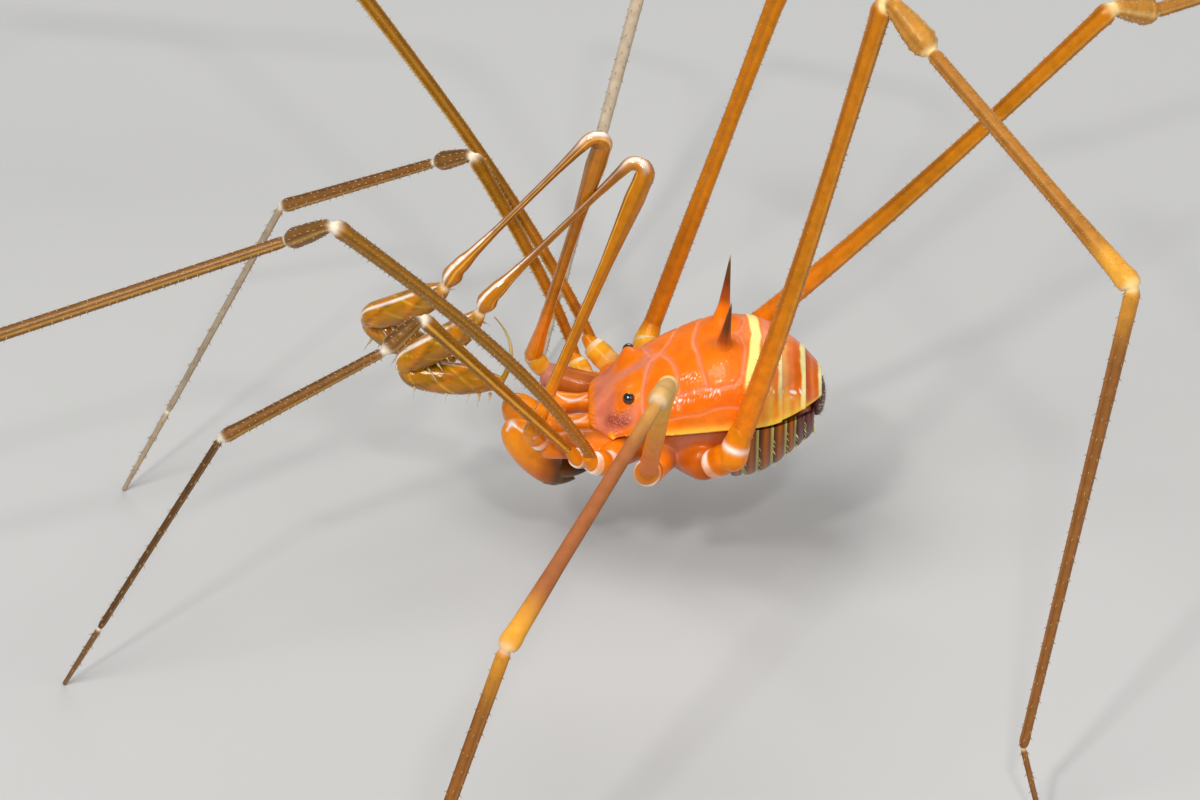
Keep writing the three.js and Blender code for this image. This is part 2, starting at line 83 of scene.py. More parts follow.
# Each right leg: where its barrel begins, the ball it turns on, the barrel's radius, and the
# lengths of femur, patella, tibia and metatarsus with the radii along each of them.
LEGS = {
    1: {
        "root": (-3.84, 2.0, -0.46), "ball": (-4.03, 2.34, -0.22), "swell": 0.35,
        "lengths": (7.5, 1.5, 5.8, 8.4),
        "radii": [(0.15, 0.19, 0.2, 0.24), (0.18, 0.24, 0.28, 0.29, 0.22)]
        + [(0.16, 0.18, 0.2, 0.22), (0.12, 0.11, 0.1)],
    },
    2: {
        "root": (-3.02, 2.45, -0.3), "ball": (-3.5, 2.85, 0.0), "swell": 0.41,
        "lengths": (16.0, 2.0, 13.8, 16.2),
        "radii": [(0.17, 0.2, 0.21, 0.26), (0.2, 0.26, 0.3, 0.31, 0.25)]
        + [(0.18, 0.19, 0.2, 0.22), (0.13, 0.12, 0.1)],
    },
    3: {
        "root": (-1.76, 2.86, -0.3), "ball": (-1.85, 3.25, -0.04), "swell": 0.47,
        "lengths": (12.1, 1.9, 8.9, 11.4),
        "radii": [(0.29, 0.29, 0.26, 0.31), (0.24, 0.3, 0.33, 0.34, 0.28)]
        + [(0.2, 0.22, 0.24, 0.32), (0.22, 0.2, 0.16)],
    },
    4: {
        "root": (0.24, 2.48, -0.34), "ball": (0.85, 2.75, 0.3), "swell": 0.5,
        "lengths": (16.4, 2.0, 10.0, 16.5),
        "radii": [(0.36, 0.31, 0.27, 0.32), (0.26, 0.34, 0.42, 0.45, 0.33)]
        + [(0.24, 0.25, 0.26, 0.36), (0.25, 0.19, 0.15)],
    },
}
TARSUS_RADII = (0.1, 0.09, 0.07)
TOE_HEIGHT = 0.07
LEG_PARTS = ("trochanter", "femur", "patella", "tibia", "foot")
# Heading outwards from straight ahead and rise above the horizontal, in degrees, of the
# femur, patella, tibia, metatarsus and tarsus.
POSE = {
    "left": {
        1: ((6, 50), (32, -26), (11, -27), (3, -61), (3, -62)),
        2: ((35, 54), (-32, -34), (9, -16), (-17, -46), (-17, -56)),
        3: ((94, 50), (79, 19), (57, -25), (17, -72), (17, -73)),
        4: ((-159, 73), (136, -25), (127, -19), (32, -79), (135, -71)),
    },
    "right": {
        1: ((39, 55), (28, -26), (14, -27), (-17, -61), (-18, -61)),
        2: ((39, 44), (20, 36), (18, -10), (-3, -57), (-3, -62)),
        3: ((126, 53), (83, -2), (59, -31), (-58, -61), (-58, -64)),
        4: ((167.6, 42.3), (141, -25), (155, 3), (181, -66), (181, -71)),
    },
}
# Thighs that are gently bowed: which way the bow goes, and how high it is.
BOWS = {
    ("left", 2): ((0.67, 0.45, 0.59), 0.52),
    ("left", 4): ((0.95, 0.18, 0.24), 0.18),
    ("right", 1): ((0.9, 0.26, 0.35), 0.2),
    ("right", 2): ((0.82, 0.35, 0.46), 0.44),
    ("right", 4): ((0.61, -0.48, -0.63), 0.22),
}
# The right palp: the ball it turns on, its segments' lengths, and the radii along them.
PALP = {
    "ball": (-5.44, 1.89, 0.49),
    "lengths": (9.2, 6.9, 3.2, 3.0),
    "radii": (
        (0.3, 0.2, 0.18, 0.18, 0.18, 0.2, 0.26, 0.33, 0.28),
        (0.24, 0.16, 0.12, 0.11, 0.11, 0.12, 0.17, 0.27),
        (0.28, 0.31, 0.26, 0.15),
        (0.17, 0.42, 0.5, 0.5, 0.47, 0.34),
        (0.3, 0.46, 0.52, 0.5, 0.4, 0.2),
    ),
}
PALP_POSE = {
    "left": ((-135.6, 59.2), (16.9, -41), (1.4, -42.6), (174.6, -6.7)),
    "right": ((-158.5, 76.2), (-11, -45.7), (18, -37.3), (-180, -34)),
}
# How far the palp's knee stands off the straight line, and the way towards the camera.
CLUB = (0.33, 0.0, 0.62)
VIEW = array((0.0, -0.8, 0.6))
# Heading and rise of the claw at a palp's end, and its length.
CLAW, CLAW_LENGTH = {"left": (-78, 63), "right": (110, 84)}, 2.1
# The right jaw: its first segment, its hand's middle and tilt, its fingers from root to tip,
# and the painted highlight line over the hand as it is seen.
JAW = {
    "base": ((-3.3, 0.5, -0.3), (-4.85, 0.55, -0.42)),
    "hand": (-5.4, 0.61, -1.44),
    "tilt": radians(57),
    "fingers": (
        ((-4.85, 0.6, -2.02), (-3.75, 0.45, -2.36)),
        ((-5.05, 0.6, -2.3), (-4.1, 0.48, -2.66)),
    ),
    "gloss": {
        "left": ((-0.86, 0.7), (-0.72, 0.93), (-0.36, 0.66)),
        "right": ((0.1, 0.5), (0.24, 0.6), (0.32, 0.78)),
    },
}
# Where each leg base begins and ends, and its radius.
COXAE = {
    "palp": ((-3.0, 1.2, -0.5), (-5.0, 1.74, -0.22), 0.48),
    1: ((-2.2, 0.6, -0.7), (-3.6, 1.72, -0.5), 0.46),
    2: ((-1.7, 0.6, -0.8), (-3.0, 2.08, -0.4), 0.5),
    3: ((-0.9, 0.6, -0.9), (-1.68, 2.5, -0.45), 0.55),
    4: ((-0.7, 1.0, -0.85), (0.0, 2.2, -0.52), 0.7),
}
# The camera: picture width and scale, distance in millimetres, height above the horizontal,
# and the picture's middle seen from the body's, in picture points.
PICTURE_WIDTH, POINTS_PER_MM = 1200, 31.6
CAMERA_REACH, CAMERA_RISE = 210.0, radians(37)
PICTURE_SHIFT = (-105, 5)


def centre(node):
    low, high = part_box(node)
    return (Vector(low) + Vector(high)) / 2


def body_middle():
    """The middle of the body, found from the two eyes."""
    left, right = centre("eye_left"), centre("eye_right")
    x, _, z = EYE
    return array([left.x - x * MM, (left.y + right.y) / 2 + z * MM * sin(ROLL), BODY_HEIGHT * MM])


MIDDLE = body_middle()


def stand(points):
    """Sets points of the body's frame, in millimetres, on the standing animal."""
    points = np.asarray(points, dtype=float)
    x, y, z = points[..., 0], points[..., 1], points[..., 2]
    turned = [x, y * cos(ROLL) - z * sin(ROLL), y * sin(ROLL) + z * cos(ROLL)]
    return stack(turned, axis=-1) * MM + MIDDLE


def stand_way(way):
    return (stand(way) - MIDDLE) / MM


def placed(points):
    """Where points of the body's frame stand, in millimetres."""
    return stand(points) / MM


def sided(point, side):
    """Where a point given for the right half of the body stands on either side."""
    return placed(array(point) * (1, side, 1))


def unstand(points):
    """The body's frame, in millimetres, of points on the standing animal."""
    x, y, z = ((np.asarray(points) - MIDDLE) / MM).T
    turned = [x, y * cos(ROLL) + z * sin(ROLL), z * cos(ROLL) - y * sin(ROLL)]
    return stack(turned, -1)


def towards(pose, side):
    heading, rise = radians(pose[0]), radians(pose[1])
    flat = cos(rise)
    return array([-cos(heading) * flat, side * sin(heading) * flat, sin(rise)])


def unit(way):
    return np.asarray(way, float) / norm(way)


def colour(tone):
    """A linear colour from six hex digits. One that is linear already stays as it is."""
    if not isinstance(tone, str):
        return tone
    parts = [int(tone[i : i + 2], 16) / 255 for i in (0, 2, 4)]
    return array([c / 12.92 if c <= 0.04045 else ((c + 0.055) / 1.055) ** 2.4 for c in parts])


def smooth(low, high, value):
    t = clip((value - low) / (high - low), 0, 1)
    return t * t * (3 - 2 * t)


def mix(base, other, amount):
    amount = clip(np.asarray(amount), 0, 1)[..., None]
    return colour(base) * (1 - amount) + colour(other) * amount


def coats(tint, *layers):
    """Paints coats over one another: each is a colour and how much of it shows."""
    for shade, amount in layers:
        tint = mix(tint, shade, amount)
    return tint


def bell(value, width):
    return np.exp(-((value / width) ** 2))


def wrap(bm, along, around, rule):
    """A closed skin: a grid rolled up by the rule, pinched shut at both ends and welded."""
    sheet = bmesh.new()
    bmesh.ops.create_grid(sheet, x_segments=along, y_segments=around, size=1)
    grid = array([vert.co[:2] for vert in sheet.verts]) / 2 + 0.5
    paint(sheet, *rule(grid[:, 0], grid[:, 1]))
    bmesh.ops.remove_doubles(sheet, verts=sheet.verts, dist=1e-7)
    bmesh.ops.recalc_face_normals(sheet, faces=sheet.faces)
    add(bm, sheet)


def paint(bm, places, tint, gloss):
    """Moves the points, in millimetres, and writes each one's colour with its roughness."""
    layer = bm.verts.layers.float_color.new("tint")
    gloss = np.broadcast_to(gloss, len(places))
    tint = np.broadcast_to(tint, (len(places), 3))
    rows = zip(bm.verts, (places * MM).tolist(), tint.tolist(), gloss.tolist())
    for vert, place, shade, shine in rows:
        vert.co = place
        vert[layer] = (*shade, shine)


def as_mesh(name, bm):
    mesh = bpy.data.meshes.new(name)
    bm.to_mesh(mesh)
    bm.free()
    return mesh


def shown(name, data):
    """A new object in the scene."""
    obj = bpy.data.objects.new(name, data)
    bpy.context.scene.collection.objects.link(obj)
    return obj


def add(bm, other):
    mesh = as_mesh("part", other)
    bm.from_mesh(mesh)
    bpy.data.meshes.remove(mesh)


def keep(name, bm, material, slot, *nodes):
    """Makes the object that stands for the named nodes."""
    mesh = as_mesh(name, bm)
    mesh.materials.append(material)
    mesh.shade_smooth()
    obj = shown(name, mesh)
    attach(obj, "root")
    if nodes:
        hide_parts(*nodes)


def run_along(track):
    """The distance along a track at each of its points."""
    return concatenate([[0], np.cumsum(norm(np.diff(track, axis=0), axis=1))])


def bent_track(joints, reaches):
    """A line through the joints with each bend rounded, cut into one track per segment."""
    tracks = [[joints[0]]]
    for index in range(1, len(joints) - 1):
        here = joints[index]
        a = unit(here - joints[index - 1])
        b = unit(joints[index + 1] - here)
        bend = acos(max(-1.0, min(1.0, float(a @ b))))
        if bend < 0.03:
            tracks[-1].append(here)
            tracks.append([here])
            continue
        out, across = unit(a - b), unit(a + b)
        reach = reaches[index - 1]
        hub = here - out * reach
        turns = linspace(-bend / 2, bend / 2, 17)
        arc = [hub + reach * (out * cos(turn) + across * sin(turn)) for turn in turns]
        tracks[-1].extend(arc[:9])
        tracks.append(arc[8:])
    tracks[-1].append(joints[-1])
    return [array(track) for track in tracks]


def rings_along(joints, reaches, fine=0.05, coarse=0.12, near=0.8):
    """Rings along a jointed limb, finer near its joints: place, segment, and distance from
    the segment's start, with the segment's length."""
    rings = []
    tracks = bent_track(joints, reaches)
    for segment, track in enumerate(tracks):
        steps = norm(np.diff(track, axis=0), axis=1)
        track = np.vstack([track[:1], track[1:][steps > 1e-5]])
        run = run_along(track)
        length = run[-1]
        at = 0.0
        while at < length - fine / 2:
            point = [interp(at, run, track[:, axis]) for axis in range(3)]
            rings.append((*point, segment, at, length))
            at += fine if min(at, length - at) < near else coarse
    rings.append((*tracks[-1][-1], len(tracks) - 1, length, length))
    return array(rings)


def straight(begin, end, step=0.03):
    return rings_along([begin, end], [], step, step)


def chain(ball, poses, lengths, side):
    """The joints of a limb, from the ball it turns on outwards."""
    joints = [ball]
    for pose, length in zip(poses, lengths):
        joints.append(joints[-1] + towards(pose, side) * length)
    return joints


def skin_spot(rings, skin, spot, turn, depth):
    """A place in a limb's skin, the way out of it and the way on along the limb."""
    normals, sides, radii = skin
    out = normals[spot] * cos(turn) + sides[spot] * sin(turn)
    ahead = unit(rings[spot + 1, :3] - rings[spot, :3])
    return rings[spot, :3] + out * radii[spot] * depth, out, ahead


def bowed(rings, segment, way, height):
    """Swings one segment's rings out between its ends, most of all in its near half."""
    here = rings[:, 3] == segment
    t = rings[here, 4] / rings[here, 5]
    rings[here, :3] += np.outer(sin(pi * t**0.75), array(way) * height)
    return rings


def ring_frames(centres):
    tangents = np.gradient(centres, axis=0)
    tangents /= norm(tangents, axis=1)[:, None]
    normals = []
    normal = array([0.0, 0.0, 1.0])
    if abs(tangents[0][2]) > 0.97:
        normal = array([-1.0, 0.0, 0.0])
    for tangent in tangents:
        normal = unit(normal - tangent * (normal @ tangent))
        normals.append(normal)
    normals = array(normals)
    return tangents, normals, np.cross(tangents, normals)


def limb(bm, rings, radius_at, tone_at, around=18, round_ends=(0.7, 0.7)):
    """A limb's skin through its rings, with rounded ends."""
    tangents, normals, sides = ring_frames(rings[:, :3])
    radii = array([radius_at(int(ring[3]), ring[4], ring[5]) for ring in rings])
    push, part = array([(1.0, 0.0), (0.87, 0.5), (0.62, 0.78), (0.34, 0.94)]).T
    last = len(rings) - 1
    row = concatenate([[0] * 4, np.arange(len(rings)), [last] * 4])
    near, far = -push * radii[0] * round_ends[0], push[::-1] * radii[last] * round_ends[1]
    slide = concatenate([near, 0 * radii, far])
    shrink = concatenate([part, 0 * radii + 1, part[::-1]])
    centres = rings[row, :3] + tangents[row] * slide[:, None]
    count = len(row)

    def rule(u, v):
        ring = np.rint(u * (count - 1)).astype(int)
        turn = v * FULL_TURN
        spot = row[ring]
        out = normals[spot] * cos(turn)[:, None] + sides[spot] * sin(turn)[:, None]
        tint, gloss, swell = tone_at(rings[spot, 3], rings[spot, 4], rings[spot, 5], turn)
        reach = radii[spot] * shrink[ring] * (1 + swell)
        return centres[ring] + out * reach[:, None], tint, gloss

    wrap(bm, count - 1, around, rule)
    return normals, sides, radii


def thorn(bm, root, way, length, radius, tone, tip_tone=None, sides=6, bend=0.0):
    """A small spine or hair: a cone drawn out to a point, its root sunk in the skin."""
    cone = bmesh.new()
    sizes = {"radius1": radius, "radius2": radius * 0.5, "depth": 1}
    bmesh.ops.create_cone(cone, cap_ends=True, segments=sides, **sizes)
    cap = [face for face in cone.faces if all(vert.co.z > 0 for vert in face.verts)]
    bmesh.ops.poke(cone, faces=cap)
    cone.verts.ensure_lookup_table()
    cone.verts[-1].co.z = 1.5
    turn = Vector((0, 0, 1)).rotation_difference(Vector(way)).to_matrix()
    side = turn @ Vector((1, 0, 0))
    layer = cone.verts.layers.float_color.new("tint")
    tone, tip_tone = colour(tone), colour(tip_tone or tone)
    for vert in cone.verts:
        along = (vert.co.z + 0.5) / 2
        shade = tone * (1 - along) + tip_tone * along
        place = turn @ Vector((vert.co.x, vert.co.y, along * length))
        place += side * (bend * length * along * along)
        vert.co = (place + Vector(root)) * MM
        vert[layer] = (*shade, 0.35)
    add(bm, cone)


def tree(name):
    """A new material with its nodes, its links and its shader."""
    material = bpy.data.materials.new(name)
    material.use_nodes = True
    nodes = material.node_tree.nodes
    return material, nodes, material.node_tree.links, nodes["Principled BSDF"]


def sockets(node, values):
    for name, value in values.items():
        node.inputs[name].default_value = value


def noise(nodes, links, place, scale, detail=2):
    """A cloud pattern in the object's own space."""
    cloud = nodes.new("ShaderNodeTexNoise")
    sockets(cloud, {"Scale": scale, "Detail": detail})
    links.new(place.outputs["Object"], cloud.inputs["Vector"])
    return cloud.outputs["Fac"]


def skin_material(name, grain, relief, depth, speckle, coat, light, bend):
    """Cuticle coloured by the paint on its points, with fine mottling and relief."""
    material, nodes, links, shader = tree(name)
    paint_node = nodes.new("ShaderNodeAttribute")
    paint_node.attribute_name = "tint"
    place = nodes.new("ShaderNodeTexCoord")
    spread = nodes.new("ShaderNodeMapRange")
    ends = {"From Min": 0.3, "From Max": 0.7, "To Min": 1 - speckle, "To Max": 1 + speckle}
    sockets(spread, ends)
    links.new(noise(nodes, links, place, grain, 5), spread.inputs["Value"])
    shade = nodes.new("ShaderNodeVectorMath")
    shade.operation = "SCALE"
    links.new(paint_node.outputs["Color"], shade.inputs[0])
    links.new(spread.outputs["Result"], shade.inputs["Scale"])
    links.new(shade.outputs["Vector"], shader.inputs["Base Color"])
    links.new(paint_node.outputs["Alpha"], shader.inputs["Roughness"])
    bump = nodes.new("ShaderNodeBump")
    sockets(bump, {"Strength": 0.5, "Distance": depth * MM})
    links.new(noise(nodes, links, place, relief, 3), bump.inputs["Height"])
    links.new(bump.outputs["Normal"], shader.inputs["Normal"])
    settings = {
        "IOR": bend,
        "Specular Tint": (1.0, 0.74, 0.42, 1),
        "Coat Weight": coat,
        "Coat Roughness": 0.12,
        "Subsurface Weight": light,
        "Subsurface Radius": (1.0, 0.45, 0.2),
        "Subsurface Scale": 0.35 * MM,
    }
    sockets(shader, settings)
    return material


def clouded_material(name, scale, low, high, settings):
    """A material that drifts between two near colours, with its other settings as given."""
    material, nodes, links, shader = tree(name)
    place = nodes.new("ShaderNodeTexCoord")
    ramp = nodes.new("ShaderNodeValToRGB")
    for element, shade in zip(ramp.color_ramp.elements, (low, high)):
        element.color = (*shade, 1)
    links.new(noise(nodes, links, place, scale), ramp.inputs["Fac"])
    links.new(ramp.outputs["Color"], shader.inputs["Base Color"])
    sockets(shader, settings)
    return material


def back_sizes(x):
    """Half width, rim and top at a place along the body, evened out between the stations."""
    sizes = []
    for column in (1, 2, 3):
        near = [interp(x + step, BACK[:, 0], BACK[:, column]) for step in (-0.35, -0.15, 0, 0.15, 0.35)]
        sizes.append(sum(near) / 5)
    sizes[1] = sizes[1] - 0.17 * bell(x + 3.1, 0.5)
    return sizes


def back_point(x, turn):
    """A point of the back. Turn 0 is the right rim, a quarter turn the crest, half the left rim."""
    half, rim, top = back_sizes(x)
    u = clip(2 * (x - BACK_START) / BACK_RUN - 1, -1, 1)
    full = where(u < 0, 6.0, 3.5)
    k = (1 - np.abs(u) ** full) ** (1 / full)
    side, up = cos(turn), sin(turn)
    height = where(up > 0, top - rim, BACK_UNDER)
    y = half * k * np.sign(side) * np.abs(side) ** SIDE_POWER
    z = rim + height * k * np.sign(up) * np.abs(up) ** TOP_POWER
    return stack([x, y, z], -1)


def back_turn(x, y):
    """The turn at which the back is y from the middle line."""
    half, _, _ = back_sizes(x)
    part = clip(np.abs(y) / half, 0, 1) ** (1 / SIDE_POWER)
    turn = np.arccos(part)
    return where(y > 0, turn, pi - turn)


def seam(*steps):
    """Points every 0.04 mm along a line drawn on the left half of the back."""
    steps = array(steps, dtype=float)
    run = run_along(steps)
    at = np.arange(0, run[-1], 0.04)
    x = interp(at, run, steps[:, 0])
    y = interp(at, run, steps[:, 1])
    return back_point(x, back_turn(x, y))


def distance(points, line):
    """The distance of each point from the nearest point of a line."""
    nearest = np.full(len(points), 1e9)
    for start in range(0, len(line), 16):
        gap = points[:, None, :] - line[None, start : start + 16, :]
        nearest = np.minimum(nearest, np.sqrt((gap**2).sum(-1)).min(1))
    return nearest


ORANGE = "f87a04"
DEEP_ORANGE = "ee5f04"
MAUVE = "e0805c"
SALMON = "f08a62"
PALE = "ffec8a"
GOLD = "ffa010"
MAROON = "9c4638"
GROOVES = [
    seam((-1.45, 0.0), (-1.39, -0.04), (-1.11, -0.49), (-0.9, -1.1), (-0.85, -1.55), (-0.85, -1.9)),
    seam((-1.45, 0.0), (-1.74, -0.15), (-1.9, -0.73), (-2.0, -1.2), (-1.95, -1.7)),
    seam((-0.4, 0.0), (-0.32, -0.41), (-0.2, -1.0), (-0.09, -1.38), (0.03, -1.74)),
    seam((-0.95, -1.7), (0.03, -1.74), (0.3, -1.82), (0.89, -1.75), (1.08, -1.55)),
    seam((0.9, 0.0), (1.08, -0.14), (1.2, -0.62), (1.17, -1.2), (1.08, -1.55)),
]


def back_spot(x, y):
    return back_point(array([x]), back_turn(array([x]), array([y])))[0]


KNOB = back_spot(-2.93, -1.62)
EYE_SPOT = back_spot(-2.54, -0.95)
SPINE_ROOT = (0.5, 0.66)
SPINE_FOOT = back_spot(0.5, -0.66)
SPINE_HEIGHT = 2.53


def folded(points):
    """The points with the right half of the body laid over the left."""
    return stack([points[:, 0], -np.abs(points[:, 1]), points[:, 2]], -1)


def near_line(left, width, *steps):
    """How near each point is to a line drawn on the left half of the back."""
    return bell(distance(left, seam(*steps)), width)


def near_rim(turn, width):
    return bell(np.minimum(np.abs(turn), np.abs(pi - turn)), width)


def back_paint(points, x, turn):
    """Colour, roughness and rise of the back at its points."""
    left = folded(points)
    across = np.abs(points[:, 1])
    outer = across / back_sizes(x)[0]
    # The ground, with the mauve front and the orange patch behind the eye in it.
    cloud = 0.5 + 0.5 * sin(3.1 * x + 2 * sin(2.3 * across)) * sin(4.3 * across + 1.7 * x)
    front = smooth(-1.75, -2.1, x + 0.35 * (across - 1.0))
    patch = smooth(-3.02, -2.74, x) * smooth(-1.9, -2.02, x) * smooth(0.1, 0.3, across)
    patch = patch * smooth(1.46, 1.26, across)
    tint = coats(
        ORANGE,
        (DEEP_ORANGE, 0.35 * cloud + 0.4 * smooth(0.62, 0.95, outer)),
        (MAUVE, front),
        ("c8604c", 0.5 * front * smooth(0.55, 0.9, cloud)),
        (ORANGE, patch),
        (MAROON, 0.95 * near_line(left, 0.26, (-3.0, -1.38), (-2.55, -1.62))),
        (MAUVE, near_line(left, 0.14, (-3.2, 0.0), (-1.4, 0.0))),
    )
    rise = 0
    for line in GROOVES:
        gap = distance(left, line) + 0.012 * sin(9 * x + 7 * across)
        tint = mix(tint, SALMON, 0.9 * bell(gap, 0.07))
        rise = rise - 0.045 * bell(gap, 0.06)
    # The yellow cross stripe, the pale hind border and the golden sides of the hind part.
    place = x + 0.12 * across + 0.015 * sin(5 * across)
    stripe = smooth(1.4, 1.47, place) * smooth(1.8, 1.72, place) * smooth(2.0, 1.6, across)
    rise = rise + 0.03 * stripe
    place = x + 0.015 * sin(9 * across)
    hind = smooth(1.2, 1.7, x) * smooth(0.66, 0.95, outer)
    lit = 0.5 + 0.5 * sin(17 * x + 2 * sin(3 * across))
    # Broken glints where the wet-looking side catches the light.
    wander = 21 * x + 6 * sin(7 * across + 3 * x)
    glint = smooth(0.4, 0.7, sin(wander) * sin(26 * across + 4 * sin(13 * x + 5 * across)))
    spots = near_line(left, 0.13, (-1.1, -1.74), (0.3, -1.86))
    spots = spots + 0.8 * near_line(left, 0.12, (-0.75, -1.3), (-0.3, -1.4))
    spots = spots + 0.8 * near_line(left, 0.16, (1.9, -1.75), (2.3, -1.7))
    behind_eye = smooth(-1.9, -1.2, x)
    rim = near_rim(turn, 0.09) * behind_eye
    rise = rise + 0.05 * rim
    ledge = near_line(left, 0.05, (-1.3, -1.93), (-0.2, -2.12), (1.2, -2.12))
    rise = rise - 0.02 * ledge
    edge = smooth(-3.45, -3.58, x) + smooth(0.93, 0.99, outer) * smooth(-1.9, -2.3, x)
    rise = rise + 0.03 * smooth(-3.4, -3.5, x) * sin(turn * 19 + 2 * sin(turn * 5)) * sin(turn * 7)
    knob = norm(left - KNOB, axis=1)
    rise = rise + 0.08 * bell(knob, 0.17)
    tint = coats(
        tint,
        (SALMON, 0.8 * smooth(1.68, 1.85, x) * smooth(2.15, 1.9, x)),
        (PALE, stripe),
        ("fff2b0", smooth(2.22, 2.3, place) * smooth(2.0, 1.6, across)),
        (GOLD, 0.7 * hind),
        ("ffd24c", 0.65 * hind * lit * smooth(1.5, 1.8, x)),
        ("fffaf0", 0.95 * glint * clip(spots, 0, 1)),
        ("f68c14", 0.4 * (smooth(0.9, 0.99, outer) * behind_eye)),
        ("ffd048", 0.9 * rim),
        (SALMON, 0.7 * ledge),
        ("f58208", edge),
        ("ff9a10", smooth(0.2, 0.12, knob)),
        # A painted pale-yellow highlight on the knob's crown.
        ("ffc850", 0.8 * smooth(0.1, 0.04, knob)),
    )
    return tint, 0.46 + 0.04 * front * (1 - patch), rise


def wart_field(left, warts, size):
    rise = np.zeros(len(left))
    for x, y, height in warts:
        near = norm(left - back_spot(x, y), axis=1)
        rise = np.maximum(rise, height * bell(near, size))
    return rise


def plate(bm, begin, end, along, around, painter, lip=0.03):
    """One plate of the back, closed below, with rounded front and hind edges."""
    # Shares of the sheet that go into the closed ends and into the side that is seen.
    edge_share, top_share = 0.04, 0.8

    def rule(u, v):
        inner = clip((u - edge_share) / (1 - 2 * edge_share), 0, 1)
        x = begin + (end - begin) * inner
        close = np.minimum(1, np.minimum(u, 1 - u) / edge_share)
        close = np.sqrt(clip(1 - (1 - close) ** 2, 0, 1))
        below = pi + (v - top_share) / (1 - top_share) * pi
        turn = where(v < top_share, v / top_share * pi, below)
        points = back_point(x, turn)
        tint, rough, rise = painter(points, x, turn)
        rise = rise + lip * bell(inner - 1, 0.12)
        outward = stack([0 * x, cos(turn), sin(turn)], -1)
        points = points + outward * where(turn < pi, rise, 0)[:, None]
        heart = stack([x, 0 * x, back_sizes(x)[1]], -1)
        return placed(heart + (points - heart) * close[:, None]), tint, rough

    wrap(bm, along, around, rule)


def lathe(bm, root, way, profile, around, tone_at, upright=(0, 1, 0)):
    """A closed turned form: profile rows are distance along the axis and radius."""
    way = unit(way)
    side = unit(np.cross(way, upright))
    third = np.cross(way, side)
    profile = array(profile, float)
    count = len(profile)

    def rule(u, v):
        row = np.rint(u * (count - 1)).astype(int)
        turn = v * FULL_TURN
        out = side * cos(turn)[:, None] + third * sin(turn)[:, None]
        points = root + way * profile[row, 0][:, None] + out * profile[row, 1][:, None]
        tint, rough = tone_at(profile[row, 0], turn)
        return points, tint, rough

    wrap(bm, count - 1, around, rule)


# Small warts on the back: how many, where along it, where across it, least and greatest height.
WARTS = (
    (70, (-1.2, 1.4), (-2.15, -1.72), 0.008, 0.02),
    (26, (-0.8, 2.2), (-1.7, -0.2), 0.005, 0.012),
)
FLANK_WARTS = 60


def build_shield(skin):
    chance = random.Random(4)
    draw = chance.uniform
    warts = []
    for count, run, width, low, high in WARTS:
        for _ in range(count):
            warts.append((draw(*run), draw(*width), draw(low, high)))
    flank = []
    for _ in range(FLANK_WARTS):
        flank.append((chance.gauss(-2.78, 0.19), chance.gauss(-1.47, 0.12), draw(0.03, 0.055)))

    def painter(points, x, turn):
        tint, rough, rise = back_paint(points, x, turn)
        left = folded(points)
        rise = rise + wart_field(left, warts + flank, 0.035)
        grain = smooth(0.012, 0.035, wart_field(left, flank, 0.03))
        tint = mix(tint, "dc8068", 0.6 * grain)
        rise = rise + 0.33 * bell(norm(left - EYE_SPOT, axis=1), 0.36)
        foot = norm(left - SPINE_FOOT, axis=1)
        return tint, rough, rise + 0.3 * bell(foot, 0.36) + 0.1 * bell(foot, 0.62)

    bm = bmesh.new()
    size = ((420, 330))
    plate(bm, BACK_START, 2.38, *size, painter)
    for side in SIDES.values():
        back_spine(bm, side)
    keep("back_shield", bm, skin, "back_shield", "scutum")


# Height and radius up a spine of the back.
SPINE_ROWS = [(0.0, 0.42), (0.2, 0.36), (0.34, 0.3), (0.5, 0.25)]
SPINE_ROWS += [(0.7, 0.2), (0.95, 0.165), (1.25, 0.135), (1.6, 0.1), (1.95, 0.068), (2.2, 0.042)]
SPINE_ROWS += [(2.4, 0.022), (2.5, 0.01), (SPINE_HEIGHT, 0)]


def back_spine(bm, side):
    """A tall spine that flares out of the back, orange below and dark with a pale tip above."""
    x, y = SPINE_ROOT
    top = back_sizes(array([x]))[2][0]
    foot = array([x, side * y, top - 0.2])
    way = unit([sin(radians(6)), side * sin(radians(12)), 0.97])
    height, radius = array(SPINE_ROWS).T
    fine = np.unique(concatenate([linspace(0, SPINE_HEIGHT, 46), [0.02, 2.5]]))
    profile = [(0, 0)] + [(t, float(interp(t, height, radius))) for t in fine]
    start, end = (0.6, 1.1) if side > 0 else (0.35, 0.8)

    def tone(along, turn):
        tint = coats(
            ORANGE,
            ("a44608", smooth(start, end, along)),
            ("6a3008", smooth(end, end + 0.6, along)),
            ("5a3c14", smooth(1.6, 2.1, along)),
            ("a89860", smooth(2.2, 2.5, along)),
        )
        return tint, 0.28

    lathe(bm, placed(foot), stand_way(way), profile, 28, tone)


